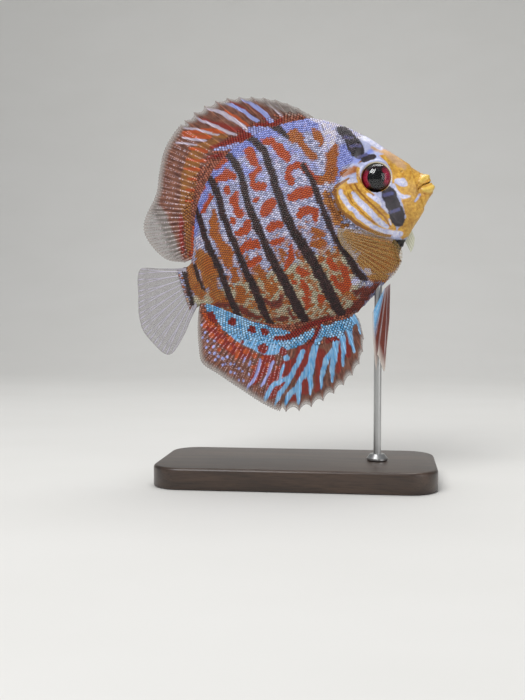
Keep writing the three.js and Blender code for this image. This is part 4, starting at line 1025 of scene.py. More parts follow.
# Markings of the dorsal and anal fins: streaks of blue-white and orange-red that run out with
# the rays, on brown web that turns grey and clear at its edge.
FIN_PIGMENTS = (
    ("tawny", "#b0722e", "#7e4a24"), ("brick", "#9c2814", "#7c1c0e"), ("rust", "#c85a1e", "#b04616"),
    ("sky", "#8f9ce2", "#adb5ec"), ("azure", "#4a9fdc", "#a4d0f2"), ("frost", "#ddd0da", "#b9adc8"),
    ("smoke", "#7b716c", "#938983"), ("garnet", "#962414", "#741a10"),
)
fin_layers = {name: np.zeros(canvas_x.shape) for name, *_ in FIN_PIGMENTS}
fin_layers["clear"] = np.zeros(canvas_x.shape)
FIN_STROKES = {
    "tawny": [
        [(-24.5, 54.3, 3.5), (-31.9, 54, 5.2), (-37.1, 49.3, 6.9), (-40.9, 43.2, 7.8), (-43.9, 36.9, 7.8),
        (-46.8, 30.6, 6.1), (-48.6, 22, 4), (-51, 13, 3), (-52.6, 6, 2)], [(-18.8, 55.2, 2.6),
        (-28.1, 60.1, 3.5), (-34.7, 62.2, 3.5)]],
    "brick": [
        [(-7.8, 51.8, 2.6), (-14.4, 51.8, 3.5), (-20.7, 52, 3.3), (-26.9, 52.6, 1.7)], [(-9.1, 54.6, 2.9),
        (-15.1, 58, 2.4), (-20.2, 61.9, 2.3), (-25.4, 65.6, 1.7), (-29.2, 68.1, 1)], [(-7.2, 51.6, 2.6),
        (-2.6, 54.3, 2.6), (2.7, 53.9, 2.1), (9.8, 53.2, 1.6)], [(-4.8, 61.6, 1.2), (-9, 68.3, 1.4),
        (-13.6, 71.2, 1), (-18.5, 72.8, 0.7)], [(-29.1, 48.5, 2.1), (-23.2, 47.3, 1.9)], [(-51, 9, 1.6),
        (-52, 5.4, 1.6)], [(6.3, 51.1, 2.6), (3.3, 55.9, 1.4), (0.5, 61.3, 1.2), (-2.7, 65.5, 0.9)],
        [(-51.3, 25.9, 2), (-53.6, 17.8, 2.4), (-55, 11.1, 2)], [(2.5, -52.6, 5.4), (1.1, -59.7, 3.6),
        (-1.7, -68.3, 1.8)], [(-7.7, -57.8, 5.4), (-10.2, -65.5, 4.5), (-13.9, -73.8, 2.7)],
        [(-15.4, -55.3, 7.2), (-18.2, -61, 7.2), (-19.8, -71.9, 5.4)], [(-23.4, -59.4, 9),
        (-30.4, -63.7, 9), (-35.8, -68.6, 5.4)], [(-32.5, -52.6, 7.2), (-37.6, -56.6, 6.3),
        (-41.6, -60.1, 4.5)], [(-26.1, -73.6, 5.4)], [(7.1, -56, 3.6), (5.1, -62, 2.7)],
        [(-42, -46.7, 5.4), (-47.1, -42.2, 5.4), (-51.4, -35.1, 5.4), (-54.6, -27.4, 4.5)]],
    "rust": [
        [(-18, 57.5, 1.9), (-24.5, 60.2, 2.1), (-31.1, 62.3, 2.3), (-37, 63.7, 1.7)], [(-26.2, 57.5, 1.9),
        (-31.9, 59.8, 1.9), (-37.5, 62, 1.4)], [(-6.5, 56.3, 1.2), (-9, 59.9, 1.4), (-12.3, 64, 1.2),
        (-15.3, 67, 0.9)], [(-30, 51.6, 1.7), (-33, 53.5, 1.7), (-36.9, 55.6, 1.4)], [(-32.1, 47.7, 1.6),
        (-36.2, 49.4, 1.6), (-40.1, 51.2, 1)], [(-46.4, 19, 2), (-48.4, 13, 2.6), (-50.4, 7, 2.2)],
        [(-35.1, 44.1, 1.6), (-38.3, 45.5, 1.4), (-42.3, 47.3, 0.9)], [(-38.1, 40.5, 1.6),
        (-42.1, 42.2, 1.2)], [(-40.6, 35.8, 1.6), (-44.6, 37.5, 1.2)], [(-43, 31.2, 1.4),
        (-46.2, 32.6, 1)], [(-54.3, -22.8, 2.7), (-52.9, -28, 4)], [(-49.4, -31.6, 4)],
        [(-46.2, -37.2, 4)], [(-43.8, -41.4, 2.7)], [(-40.2, -41.4, 2.7)], [(-56.6, -27.7, 2.3)],
        [(-54.6, -33.1, 2.7)], [(-51.2, -37.3, 3.1)], [(-48.5, -41.7, 2.7)], [(-45.1, -44.7, 2.3),
        (-46.8, -47, 1.8)], [(-41.1, -45.8, 2.7)], [(-53.4, -41.1, 1.8)], [(-37.9, -48.9, 2.3)],
        [(-34.8, -50.9, 2)], [(-56.2, -38.3, 1.4)], [(-40.5, -53.8, 1.8)], [(-33.3, -55.2, 2)],
        [(-29.3, -57.4, 1.6)]],
    "sky": [
        [(-1.6, 56.9, 1.9), (-4.4, 60.2, 1.9), (-7.5, 64.7, 1.7), (-10.9, 68.2, 1.4), (-14.5, 71.1, 0.9)],
        [(5, 54.8, 2.1), (2.6, 59.2, 2.1), (-0.5, 63.8, 1.9), (-3.9, 67.3, 1.4), (-6.6, 70.1, 0.7)],
        [(-6.4, 53.9, 3.1), (-1.7, 51.5, 4.9), (3.8, 48.8, 4.9), (7.8, 47.1, 4.3)], [(-25.6, 51, 1.2),
        (-19.6, 50, 1.9), (-13.6, 48.5, 2.6)], [(-35.9, -51.5, 1.1), (-38.5, -56.3, 1.3),
        (-42, -59.9, 1.4), (-45, -61.8, 1.3), (-47.2, -63.7, 0.7)], [(-30.2, -54.3, 1.3),
        (-33.6, -58.9, 1.3), (-37.1, -62.4, 1.3), (-39.5, -63.9, 0.7)], [(-50.6, -45.8, 1.4)],
        [(-50.2, -49.3, 1.3)], [(-48.4, -50.1, 1.2)], [(-47.1, -52.6, 1.4)], [(-45.8, -54.5, 1.1)],
        [(-51.4, -53.1, 1.4)], [(-49.5, -54.3, 1.1)], [(-48.8, -57.7, 1.2)], [(-46.9, -58.9, 1.1)],
        [(-56.3, -42, 1.5)], [(-54.7, -44.1, 1.5)], [(-52.9, -45.6, 1.5)], [(-59.4, -38, 1.4)],
        [(-58.4, -41, 1.4)], [(-56.6, -45.4, 1.4)], [(-54.2, -48.4, 1.4)], [(-55.6, -38.6, 1.3)],
        [(-57.4, -31, 1.3)], [(-54.4, -36, 1.2)], [(-52.8, -48.5, 1.1)], [(-57.4, -35.3, 1.4)],
        [(-59.2, -33, 1.3)], [(-43.3, -56.7, 1.1)], [(-58, -27, 1.3)], [(-42.5, -48.4, 0.9),
        (-43.8, -50.1, 0.9)], [(-40.8, -50.8, 0.9), (-42.1, -52.5, 0.9)]],
    "azure": [
        [(14.1, -46, 3.1), (14.6, -49, 2.2), (13.7, -54.3, 0.9)], [(9, -47.2, 4), (9.3, -52, 2.5),
        (8.6, -56.5, 1.8), (8.3, -61.7, 0.9)], [(4.7, -48.6, 4.5), (5.1, -53.4, 3.1), (3.9, -58.7, 2.2),
        (1.1, -66.3, 1.1)], [(1.4, -54.9, 2.7), (-1, -60, 3.1), (-3.8, -65.7, 2.3), (-6.1, -72.1, 1.1)],
        [(-0.4, -57.4, 1.8), (-4.1, -59.9, 2.5), (-7.5, -64.5, 2.5), (-10, -68.9, 1.8),
        (-12.2, -73.9, 0.9)], [(-2.4, -46.3, 4.9), (-6.2, -50.7, 3.6), (-9.7, -55.3, 3.1),
        (-12.9, -60.9, 3.4), (-15.2, -65.8, 2.9), (-16.4, -71.1, 1.8), (-18, -74.8, 0.7)],
        [(-14.8, -62.1, 2.5), (-18.6, -65.6, 2.7), (-21.6, -68.4, 2.5), (-23, -72.7, 2.5),
        (-24.7, -77.4, 1.1)], [(-22, -69.2, 2), (-26.4, -71.6, 2.5), (-29.3, -73.7, 2.2),
        (-30.8, -76.4, 1.1)], [(-14.9, -54.3, 2.5), (-18, -57.3, 2.7), (-22.2, -61.6, 2.5),
        (-26.4, -65.9, 2.5), (-30.4, -69.4, 2.2), (-33.6, -72.1, 1.8), (-36.2, -75, 0.7)],
        [(-24.3, -63.8, 1.6), (-28.7, -64.2, 2), (-33.8, -65.4, 2.5), (-37.1, -68.1, 2.3),
        (-40.5, -71.2, 1.1)], [(-25.5, -57.7, 1.6), (-28.6, -61.4, 1.4), (-30.7, -64.5, 0.9)],
        [(-23.4, -54.4, 3.1)], [(-51.7, -21.3, 2), (-49, -24.7, 2.7), (-45.6, -31.9, 4.9),
        (-41.6, -36.9, 6.7), (-36.5, -41.6, 7.6), (-31.3, -46, 8.1), (-26.2, -47.8, 7.2),
        (-20.7, -48.4, 5.4), (-15.1, -48.4, 5), (-9.9, -47.2, 4.1), (-6.6, -46.3, 2.7)],
        [(-2.7, -48.1, 5.4), (3, -48.1, 6.3), (8.9, -47.6, 5.4), (13.5, -47.2, 3.1)], [(-51.6, -19, 3),
        (-46, -25, 5), (-40, -31.4, 6.6), (-32, -38, 8), (-24, -42.4, 6), (-17, -44.6, 3)]],
    "frost": [
        [(-13.5, 54, 1.2), (-18, 57.7, 1.4), (-22.1, 61.8, 1.5), (-26.4, 65.4, 1.1), (-29.7, 69.2, 0.7)],
        [(-21.8, 57.1, 0.9), (-26.4, 59.9, 1.2), (-30.8, 63.1, 1), (-36.2, 66, 0.9)], [(-28.3, 56.8, 0.9),
        (-33.9, 59.2, 1.1), (-38.6, 61.6, 0.9)], [(-7.2, 54.4, 1), (-10.3, 58.8, 1.6), (-14.2, 63.6, 1.9),
        (-18.3, 67.8, 1.7), (-24.4, 71.6, 1), (-28.1, 71.5, 0.5)], [(11.4, 58.2, 0.9), (6.1, 64.3, 1),
        (0.5, 66.6, 0.7)], [(10.3, 54.9, 0.7), (8.1, 59.2, 0.9), (4.9, 63.4, 0.7)], [(-34.2, 66.6, 0.9),
        (-37.5, 67.7, 1)], [(-33.1, 56, 0.7), (-37.8, 58.3, 0.9), (-42.7, 60.2, 0.7)], [(-6.6, 70.1, 0.7),
        (-9.9, 71.3, 0.7)], [(11.9, 59.8, 0.5), (9.9, 62.1, 0.5)]],
    "garnet": [
        [(-42.4, -30, 4)], [(-34.4, -36.5, 3.8)], [(-29.1, -39.3, 4)], [(-32.7, -46.8, 5.2)],
        [(-24.2, -51.3, 4.1)], [(-41.4, -40.8, 2)], [(-51.5, -23.7, 3.6), (-50.6, -26.8, 2.7)],
        [(-25, -44.1, 2.3), (-19.6, -45, 3.1), (-15.2, -44.2, 3.1), (-10.5, -43.1, 2.3),
        (-3.6, -42.3, 2.3), (4, -42.3, 1.6)], [(-3.3, -44.7, 1.8), (-6.8, -48.5, 2.2),
        (-11.6, -52.4, 2.3), (-16.5, -52.1, 2)], [(-2.2, -53.2, 2.3), (0.8, -52.1, 1.8),
        (3.1, -53.7, 1.6)], [(-20.7, -57, 2.7), (-23.1, -58.7, 2.3)]],
}
for name, strokes in FIN_STROKES.items():
    for points in strokes:
        stroke(fin_layers[name], points, soft=4 if name in ("tawny", "brick") else 1.4)
fill(fin_layers["smoke"], [(30, 50), (14, 54), (6, 60), (-2, 68), (-4, 76), (30, 76)], 6, 0.7)
fill(fin_layers["smoke"], [(-57, 0), (-58, 30), (-62, 40), (-80, 40), (-80, 0)], 5)
fill(fin_layers["clear"], [(-59, 0), (-62, 30), (-66, 40), (-80, 40), (-80, 0)], 6)
FIN_WANDER = 0.3
fin_sides = {side: wandered(fin_layers, seed, FIN_WANDER) for side, seed in (("right", 31), ("left", 47))}

# Painted web: wet, satin skin whose grain runs out with the rays. Pale beads lie along the soft
# rays, and the web between rays turns clear at the margin.
painted_web = new_material("painted fin web")
tree = painted_web.node_tree
flow = add(tree, "ShaderNodeAttribute", attribute_name="flow").outputs["Vector"]
drawn = add(tree, "ShaderNodeVectorMath", {0: flow, 1: (1.6, 0.14, 1)}, operation="MULTIPLY").outputs[0]
fine = add(tree, "ShaderNodeTexNoise", {"Vector": drawn, "Scale": 1.6, "Detail": 3.0}).outputs["Fac"]
grain = add(tree, "ShaderNodeMapRange", {"Value": fine, "From Min": 0.32, "From Max": 0.68}).outputs["Result"]
colour = pigment_colour(tree, "#552a20", "#96604a", FIN_PIGMENTS, grain)
ray = add(tree, "ShaderNodeAttribute", attribute_name="ray").outputs["Fac"]
beads = add(tree, "ShaderNodeTexNoise", {"Vector": flow, "Scale": 2.1, "Detail": 0.0}).outputs["Fac"]
bead = add(tree, "ShaderNodeMapRange", {"Value": beads, "From Min": 0.56, "From Max": 0.64}).outputs["Result"]
soft_ray = add(tree, "ShaderNodeAttribute", attribute_name="soft").outputs["Fac"]
on_ray = add(tree, "ShaderNodeMath", {0: bead, 1: ray}, operation="MULTIPLY").outputs[0]
on_soft_ray = add(tree, "ShaderNodeMath", {0: on_ray, 1: soft_ray}, operation="MULTIPLY").outputs[0]
spot = add(tree, "ShaderNodeMath", {0: on_soft_ray, 1: 0.7}, operation="MULTIPLY").outputs[0]
flecked = add(tree, "ShaderNodeMix", {0: spot, 6: colour, 7: linear("#d9c8d4")}, data_type="RGBA").outputs[2]
lit = add(tree, "ShaderNodeMapRange", {"Value": ray, "To Min": 0.72, "To Max": 1.3}).outputs["Result"]
rayed = add(tree, "ShaderNodeVectorMath", {0: flecked, "Scale": lit}, operation="SCALE").outputs[0]
to_edge = add(tree, "ShaderNodeAttribute", attribute_name="to_edge").outputs["Fac"]
margin = add(tree, "ShaderNodeMapRange", {"Value": to_edge, "From Min": 3.4, "From Max": 0.8,
                                          "To Max": 0.85}).outputs["Result"]
faded = add(tree, "ShaderNodeMix", {0: margin, 6: rayed, 7: linear("#9d928c")}, data_type="RGBA").outputs[2]
lobe = add(tree, "ShaderNodeAttribute", attribute_name="clear").outputs["Fac"]
clear = add(tree, "ShaderNodeMath", {0: margin, 1: lobe}, operation="MAXIMUM").outputs[0]
thin = add(tree, "ShaderNodeMapRange", {"Value": ray, "To Min": 0.7, "To Max": 0.2}).outputs["Result"]
open_web = add(tree, "ShaderNodeMath", {0: clear, 1: thin}, operation="MULTIPLY").outputs[0]
alpha = add(tree, "ShaderNodeMath", {0: 1.0, 1: open_web}, operation="SUBTRACT").outputs[0]
shader = add(tree, "ShaderNodeBsdfPrincipled", {
    "Base Color": faded, "Roughness": 0.38, "Specular IOR Level": 0.45, "Coat Weight": 0.2,
    "Coat Roughness": 0.2, "Alpha": alpha})
add(tree, "ShaderNodeOutputMaterial", {"Surface": shader.outputs[0]})

dorsal = fin_sheet(
    [(22.5, 48.5), (10, 50.5), (-4, 50), (-18, 46.5), (-30, 39.5), (-39, 30), (-45, 18), (-50.5, 5)],
    [(24.2, 50.2), (17, 58), (8, 64.8), (-4, 70.2), (-17, 73.2), (-29, 71.6), (-40, 66.6), (-49, 59),
     (-55, 49.5), (-59.5, 40.5), (-68.5, 31), (-71, 25), (-69.5, 17), (-64.5, 8.5), (-56.5, 4.4)],
    [(0, 0), (0.1, 0.165), (0.46, 0.475), (0.7, 0.668), (0.9, 0.89), (1, 1)],
    spines=12, soft=28, spine_share=0.46, rows=44, notch=0.07, wave=0.35)
fin_piece("dorsal_web", dorsal, painted_web, fin_sides, "dorsal_fin")
anal = fin_sheet(
    [(13.4, -43), (2, -42), (-12, -40.5), (-24, -37.5), (-34, -32), (-43, -25.5), (-50, -19.5), (-55, -16.5)],
    [(15.4, -47.6), (14.8, -57), (9.6, -67.4), (1, -74.4), (-11, -79.4), (-24, -81.2), (-34, -78.6),
     (-42, -71.6), (-50, -62), (-58, -52), (-63.6, -44.6), (-62.6, -36.5), (-60.4, -28), (-57.6, -20.8)],
    [(0, 0), (0.07, 0.168), (0.245, 0.333), (0.5, 0.617), (0.8, 0.888), (1, 1)],
    spines=11, soft=28, spine_share=0.5, rows=44, notch=0.06, wave=0.35)
fin_piece("anal_web", anal, painted_web, fin_sides, "anal_fin")

# Small scales on the roots of the dorsal and anal fins, of thin bone like the body's. They sit in
# the fin's sheath in rows that follow its root, and thin out towards the open web.
FIN_ROW_STEP = 1.02
FIN_SCALE_GAP = 1.3
FIN_SCALE_SIZE = (1.9, 1.45, 1.2)
FIRST_ROW = -0.6
FRONT_GAP, REAR_GAP = 2.4, 2.5
THIN_FROM, THINNING = 0.55, 1.6
SHARE_OF_RAY = 0.45
WEB_HALF = 0.13
SWEPT_BACK = 0.7


def fin_coat(name, fin, depth, side):
    """Scales on one side of a fin's root, out to a depth."""
    start, end = fin["start"], fin["end"]
    ray_length = np.linalg.norm(end - start, axis=1)
    run = np.concatenate([[0], np.cumsum(np.linalg.norm(np.diff(start, axis=0), axis=1))])
    steady = np.random.default_rng(len(name))
    roots, lie, uv = [], [], []
    for n, away in enumerate(np.arange(FIRST_ROW, depth, FIN_ROW_STEP)):
        at = np.arange(FRONT_GAP + FIN_SCALE_GAP / 2 * (n % 2), run[-1] - REAR_GAP, FIN_SCALE_GAP)
        at = at[steady.random(len(at)) > max(0, away / depth - THIN_FROM) * THINNING]
        at = at[away < SHARE_OF_RAY * np.interp(at, run, ray_length)]
        column = np.interp(at, run, np.arange(len(run)))
        near, far, length = (np.stack([np.interp(column, np.arange(len(run)), part) for part in field.T], -1)
                             for field in (start, end, ray_length[:, None]))
        spot = near + (far - near) * away / length
        behind = np.gradient(near, axis=0)
        behind /= np.linalg.norm(behind, axis=1, keepdims=True)
        half = WEB_HALF + SHEATH * math.exp(-max(away, 0) / SHEATH_FADE)
        roots.append(np.column_stack([spot[:, 0], np.full(len(spot), -half), spot[:, 1]]))
        heading = (far - near) / length + SWEPT_BACK * behind
        lie.append(np.column_stack([heading[:, 0], np.zeros(len(spot)), heading[:, 1]]))
        out = (away - FIRST_ROW) / (depth - FIRST_ROW)
        uv.append(np.column_stack([uv_share(at / run[-1]), np.full(len(at), uv_share(out))]))
    roots, lie, uv = (np.concatenate(part) for part in (roots, lie, uv))
    lie /= np.linalg.norm(lie, axis=1, keepdims=True)
    outward = np.tile((0.0, -1.0, 0.0), (len(roots), 1))
    if side == "left":
        roots, outward, lie = (part * (1, -1, 1) for part in (roots, outward, lie))
    size = np.tile(FIN_SCALE_SIZE, (len(roots), 1))
    scale_piece(name, roots, outward, lie, size, uv, fin_scale, fin_sides)


fin_scale = scale_material("wet scale on a fin", "#6a3526", "#a8634a", FIN_PIGMENTS)
for side in ("right", "left"):
    fin_coat(f"scales_dorsal_{side}", dorsal, 7, side)
    fin_coat(f"scales_anal_{side}", anal, 11, side)
bpy.data.objects.remove(plate)

# Tail fin and pectoral fins, see-through webs of skin over pale rays that fan out of a fleshy
# root. The tail fin is grey, and the pectoral fins are a faint golden brown.

# The webs are wet and clear, so what is behind shows through them, and the rays are denser lines.
def clear_web(name, tint, ray_tint, thinness):
    """A see-through web of one tint, closed along its rays."""
    material = new_material(name)
    tree = material.node_tree
    ray = add(tree, "ShaderNodeAttribute", attribute_name="ray").outputs["Fac"]
    flow = add(tree, "ShaderNodeAttribute", attribute_name="flow").outputs["Vector"]
    from_root = add(tree, "ShaderNodeAttribute", attribute_name="from_root").outputs["Fac"]
    grain = add(tree, "ShaderNodeTexNoise", {"Vector": flow, "Scale": 1.3, "Detail": 3.0}).outputs["Fac"]
    web = add(tree, "ShaderNodeMix", {0: grain, 6: linear(tint[0]), 7: linear(tint[1])},
              data_type="RGBA").outputs[2]
    streaked = add(tree, "ShaderNodeMix", {0: ray, 6: web, 7: linear(ray_tint)}, data_type="RGBA").outputs[2]
    body = add(tree, "ShaderNodeMapRange", {
        "Value": from_root, "From Min": 6.0, "From Max": 1.0}).outputs["Result"]
    dense = add(tree, "ShaderNodeMath", {0: ray, 1: body}, operation="MAXIMUM").outputs[0]
    alpha = add(tree, "ShaderNodeMapRange", {
        "Value": dense, "To Min": 1 - thinness, "To Max": min(0.95, 1.35 - thinness)}).outputs["Result"]
    shader = add(tree, "ShaderNodeBsdfPrincipled", {
        "Base Color": streaked, "Roughness": 0.35, "Coat Weight": 0.2, "Coat Roughness": 0.2, "Alpha": alpha})
    add(tree, "ShaderNodeOutputMaterial", {"Surface": shader.outputs[0]})
    return material


tail_web = clear_web("clear tail web", ("#857f7b", "#a09ba2"), "#c4bed0", 0.62)
caudal = fin_sheet(
    [(-56.5, 1.6), (-57, -4), (-57.2, -11), (-57, -17.4)],
    [(-62, 3.2), (-70, 5.8), (-77.6, 8.4), (-80.6, 5.4), (-83.6, -4), (-86.2, -13.4), (-86.4, -20.6),
     (-83.6, -28.4), (-79.6, -35), (-76, -35.6), (-68, -29.4), (-61, -21.6)],
    [(0, 0), (0.12, 0.24), (0.5, 0.52), (0.88, 0.8), (1, 1)],
    spines=1, soft=15, spine_share=0.05, rows=40, sheath=1.0, wave=0.3)
fin_piece("caudal_web", caudal, tail_web, None, "caudal_fin")
breast_web = clear_web("clear brown breast web", ("#a98645", "#8a6a36"), "#a98a4c", 0.88)
even = [(0, 0), (1, 1)]
for side, across in (("right", -1), ("left", 1)):
    pectoral = fin_sheet(
        [(19.4, -4.6, across * 14.3), (18.2, -8.2, across * 14), (18.4, -12, across * 13.5)],
        [(36, -12, across * 23), (41.2, -17.4, across * 25.6), (43.4, -24, across * 27),
         (40.4, -30.4, across * 26.4), (33, -34, across * 24), (26, -31.6, across * 20.4)],
        even, spines=1, soft=12, spine_share=0.06, rows=36, side=(-0.42 * across, 0.9, 0.08 * across),
        sheath=0.5, ridge=0.2, web=0.06)
    fin_piece(f"pectoral_web_{side}", pectoral, breast_web, None, f"pectoral_fin_{side}")

# Membrane of the gills, a small pale flap of thin skin on fine rays. It hangs out under the throat,
# in front of the slit.
membrane_web = clear_web("pale gill membrane", ("#b9bda0", "#d2d3bd"), "#dcdcca", 0.25)
membrane = fin_sheet([(51.6, -15.2), (49.6, -17), (47, -18.6)], [(51.8, -19.4), (50.2, -22.6), (48, -25.2)],
                     even, spines=1, soft=4, spine_share=0.2, rows=24, sheath=0.5, ridge=0.1, web=0.12)
fin_piece("gill_membrane", membrane, membrane_web)

# Pelvic fins, a pair under the belly, each a stiff spine and a few long soft rays that end in
# threads. The web is thick, wet skin, wine red with a blue front, which gleams along its rays.
pelvic_web = new_material("red and blue pelvic web")
tree = pelvic_web.node_tree
flow = add(tree, "ShaderNodeAttribute", attribute_name="flow").outputs["Vector"]
ray = add(tree, "ShaderNodeAttribute", attribute_name="ray").outputs["Fac"]
rank = add(tree, "ShaderNodeSeparateXYZ", {0: flow}).outputs["X"]
grain = add(tree, "ShaderNodeTexNoise", {"Vector": flow, "Scale": 1.0, "Detail": 3.0}).outputs["Fac"]
red = add(tree, "ShaderNodeMix", {0: grain, 6: linear("#4a1a12"), 7: linear("#7c3220")},
          data_type="RGBA").outputs[2]
front = add(tree, "ShaderNodeMapRange", {"Value": rank, "From Min": 5.2, "From Max": 6.2}).outputs["Result"]
blue = add(tree, "ShaderNodeMix", {0: grain, 6: linear("#2f86c4"), 7: linear("#8cc4e6")},
           data_type="RGBA").outputs[2]
both = add(tree, "ShaderNodeMix", {0: front, 6: red, 7: blue}, data_type="RGBA").outputs[2]
pale_ray = add(tree, "ShaderNodeMath", {0: ray, 1: 0.45}, operation="MULTIPLY").outputs[0]
lit = add(tree, "ShaderNodeMix", {0: pale_ray, 6: both, 7: linear("#e6dfe4")}, data_type="RGBA").outputs[2]
out = add(tree, "ShaderNodeAttribute", attribute_name="out").outputs["Fac"]
pale = add(tree, "ShaderNodeMapRange", {"Value": out, "From Min": 0.8, "From Max": 1.0}).outputs["Result"]
tipped = add(tree, "ShaderNodeMix", {0: pale, 6: lit, 7: linear("#c9bfb6")}, data_type="RGBA").outputs[2]
shader = add(tree, "ShaderNodeBsdfPrincipled", {"Base Color": tipped, "Roughness": 0.34, "Coat Weight": 0.3,
                                                "Coat Roughness": 0.15})
add(tree, "ShaderNodeOutputMaterial", {"Surface": shader.outputs[0]})
for side, across in (("right", -1), ("left", 1)):
    pelvic = fin_sheet(
        [(34.4, -36.2, across * 3.4), (32.6, -36.9, across * 3.5), (30.6, -38, across * 3.6)],
        [(28.4, -53.6, across * 5.6), (23.4, -65, across * 6.6), (19.2, -74.4, across * 7),
         (18.6, -66, across * 7), (15.8, -73, across * 7), (19, -58, across * 6),
         (22.4, -46.4, across * 4.8)],
        even, spines=1, soft=6, spine_share=0.12, rows=50, side=(0, 0.99, 0.1 * across), sheath=0.6,
        ridge=0.26, web=0.14)
    fin_piece(f"pelvic_web_{side}", pelvic, pelvic_web, None, f"pelvic_fin_{side}")

# Display stand, not part of the fish: a flat base of dark stained wood with a rounded edge, one
# brushed steel rod into the belly, and a small steel collar where the rod enters the base.
BASE = {"length": 132, "width": 66, "corner": 14, "height": 10, "bevel": 1.5}
ROD = {"radius": 1.8, "low": 4.3, "high": 97.3, "x": 38.24}
COLLAR = {"radius": 5, "low": 10.3, "height": 3, "chamfer": 1.6}


def lathe(name, profile, x, sides, material, replaced):
    """A closed turned piece round an upright axis at x, from (radius, height) points, axis to axis."""
    points, faces, rows = [], [], []
    for radius, z in profile:
        rows.append(list(range(len(points), len(points) + (1 if radius == 0 else sides))))
        for n in range(len(rows[-1])):
            turn = 2 * math.pi * n / sides
            points.append(((x + radius * math.cos(turn)) * MM, radius * math.sin(turn) * MM, z * MM))
    for low, high in zip(rows, rows[1:]):
        for n in range(sides):
            m = (n + 1) % sides
            corners = (low[n % len(low)], low[m % len(low)], high[m % len(high)], high[n % len(high)])
            faces.append(tuple(dict.fromkeys(corners)))
    mesh = bpy.data.meshes.new(name)
    mesh.from_pydata(points, [], faces)
    mesh.shade_smooth()
    mesh.set_sharp_from_angle(angle=math.radians(35))
    piece = show(name, mesh, material)
    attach(piece, "root")
    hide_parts(replaced)


# Brushed steel: fine scratches along the rod spread its highlight into a soft line.
steel = new_material("brushed steel")
tree = steel.node_tree
place = add(tree, "ShaderNodeTexCoord").outputs["Object"]
drawn = add(tree, "ShaderNodeVectorMath", {0: place, 1: (9000, 9000, 160)}, operation="MULTIPLY").outputs[0]
scratch = add(tree, "ShaderNodeTexNoise", {"Vector": drawn, "Scale": 1.0, "Detail": 2.0}).outputs["Fac"]
tone = add(tree, "ShaderNodeMix", {0: scratch, 6: linear("#a9aaab"), 7: linear("#cfcfcd")},
           data_type="RGBA").outputs[2]
roughness = add(tree, "ShaderNodeMapRange", {
    "Value": scratch, "To Min": 0.24, "To Max": 0.4}).outputs["Result"]
shader = add(tree, "ShaderNodeBsdfPrincipled", {"Base Color": tone, "Metallic": 1.0, "Roughness": roughness})
add(tree, "ShaderNodeOutputMaterial", {"Surface": shader.outputs[0]})

# Dark stained wood: soft figure along the board, fine dark pores and a satin varnish.
wood = new_material("dark stained wood")
tree = wood.node_tree
place = add(tree, "ShaderNodeTexCoord").outputs["Object"]
board = add(tree, "ShaderNodeVectorMath", {0: place, 1: (14, 120, 120)}, operation="MULTIPLY").outputs[0]
figure = add(tree, "ShaderNodeTexNoise", {"Vector": board, "Scale": 1.0, "Detail": 5.0, "Roughness": 0.6,
                                          "Distortion": 0.6}).outputs["Fac"]
fibre_place = add(tree, "ShaderNodeVectorMath", {0: place, 1: (120, 2400, 2400)},
                  operation="MULTIPLY").outputs[0]
fibre = add(tree, "ShaderNodeTexNoise", {"Vector": fibre_place, "Scale": 1.0, "Detail": 2.0}).outputs["Fac"]
band = add(tree, "ShaderNodeMapRange", {
    "Value": figure, "From Min": 0.35, "From Max": 0.65}).outputs["Result"]
tone = add(tree, "ShaderNodeMix", {0: band, 6: linear("#2a1f19"), 7: linear("#4a382c")},
           data_type="RGBA").outputs[2]
pored = add(tree, "ShaderNodeMapRange", {"Value": fibre, "From Min": 0.3, "From Max": 0.5, "To Min": 0.6,
                                         "To Max": 1.0}).outputs["Result"]
stained = add(tree, "ShaderNodeVectorMath", {0: tone, "Scale": pored}, operation="SCALE").outputs[0]
bump = add(tree, "ShaderNodeBump", {
    "Height": fibre, "Strength": 0.3, "Distance": 0.05 * MM}).outputs["Normal"]
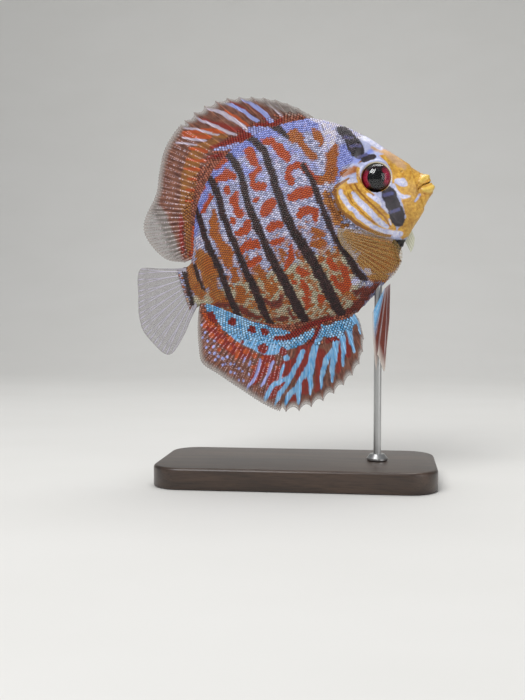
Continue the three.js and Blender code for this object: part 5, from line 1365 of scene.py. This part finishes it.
shader = add(tree, "ShaderNodeBsdfPrincipled", {"Base Color": stained, "Roughness": 0.42, "Coat Weight": 0.3,
                                                "Coat Roughness": 0.25, "Normal": bump})
add(tree, "ShaderNodeOutputMaterial", {"Surface": shader.outputs[0]})

outline = []
for corner_x, corner_y, first in ((1, 1, 0), (-1, 1, 1), (-1, -1, 2), (1, -1, 3)):
    for n in range(13):
        turn = (first + n / 12) * math.pi / 2
        outline.append((corner_x * (BASE["length"] / 2 - BASE["corner"]),
                        corner_y * (BASE["width"] / 2 - BASE["corner"]), math.cos(turn), math.sin(turn)))
levels = [(0.4, 0), (0, 0.4)]
levels += [(BASE["bevel"] * (1 - math.cos(n * math.pi / 12)),
            BASE["height"] - BASE["bevel"] * (1 - math.sin(n * math.pi / 12))) for n in range(7)]
base_points = [((cx + (BASE["corner"] - inset) * c) * MM, (cy + (BASE["corner"] - inset) * s) * MM, z * MM)
               for inset, z in levels for cx, cy, c, s in outline]
count = len(outline)
base_faces = [tuple(range(count - 1, -1, -1)), tuple(range((len(levels) - 1) * count, len(levels) * count))]
for row in range(len(levels) - 1):
    for n in range(count):
        m = (n + 1) % count
        base_faces.append((row * count + n, row * count + m, (row + 1) * count + m, (row + 1) * count + n))
base_mesh = bpy.data.meshes.new("base")
base_mesh.from_pydata(base_points, [], base_faces)
base_mesh.shade_smooth()
base_mesh.set_sharp_from_angle(angle=math.radians(50))
base = show("display_base", base_mesh, wood)
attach(base, "root")
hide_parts("stand_base")
rod_profile = [(0, ROD["low"]), (ROD["radius"], ROD["low"]), (ROD["radius"], ROD["high"]), (0, ROD["high"])]
lathe("display_rod", rod_profile, ROD["x"], 48, steel, "stand_rod")
top = COLLAR["low"] + COLLAR["height"]
edge = COLLAR["radius"] - COLLAR["chamfer"]
collar_profile = [(0, COLLAR["low"]), (COLLAR["radius"] - 0.2, COLLAR["low"]),
                  (COLLAR["radius"], COLLAR["low"] + 0.2), (COLLAR["radius"], COLLAR["low"] + 1),
                  (edge, top), (0, top)]
lathe("display_collar", collar_profile, ROD["x"], 64, steel, "stand_collar")
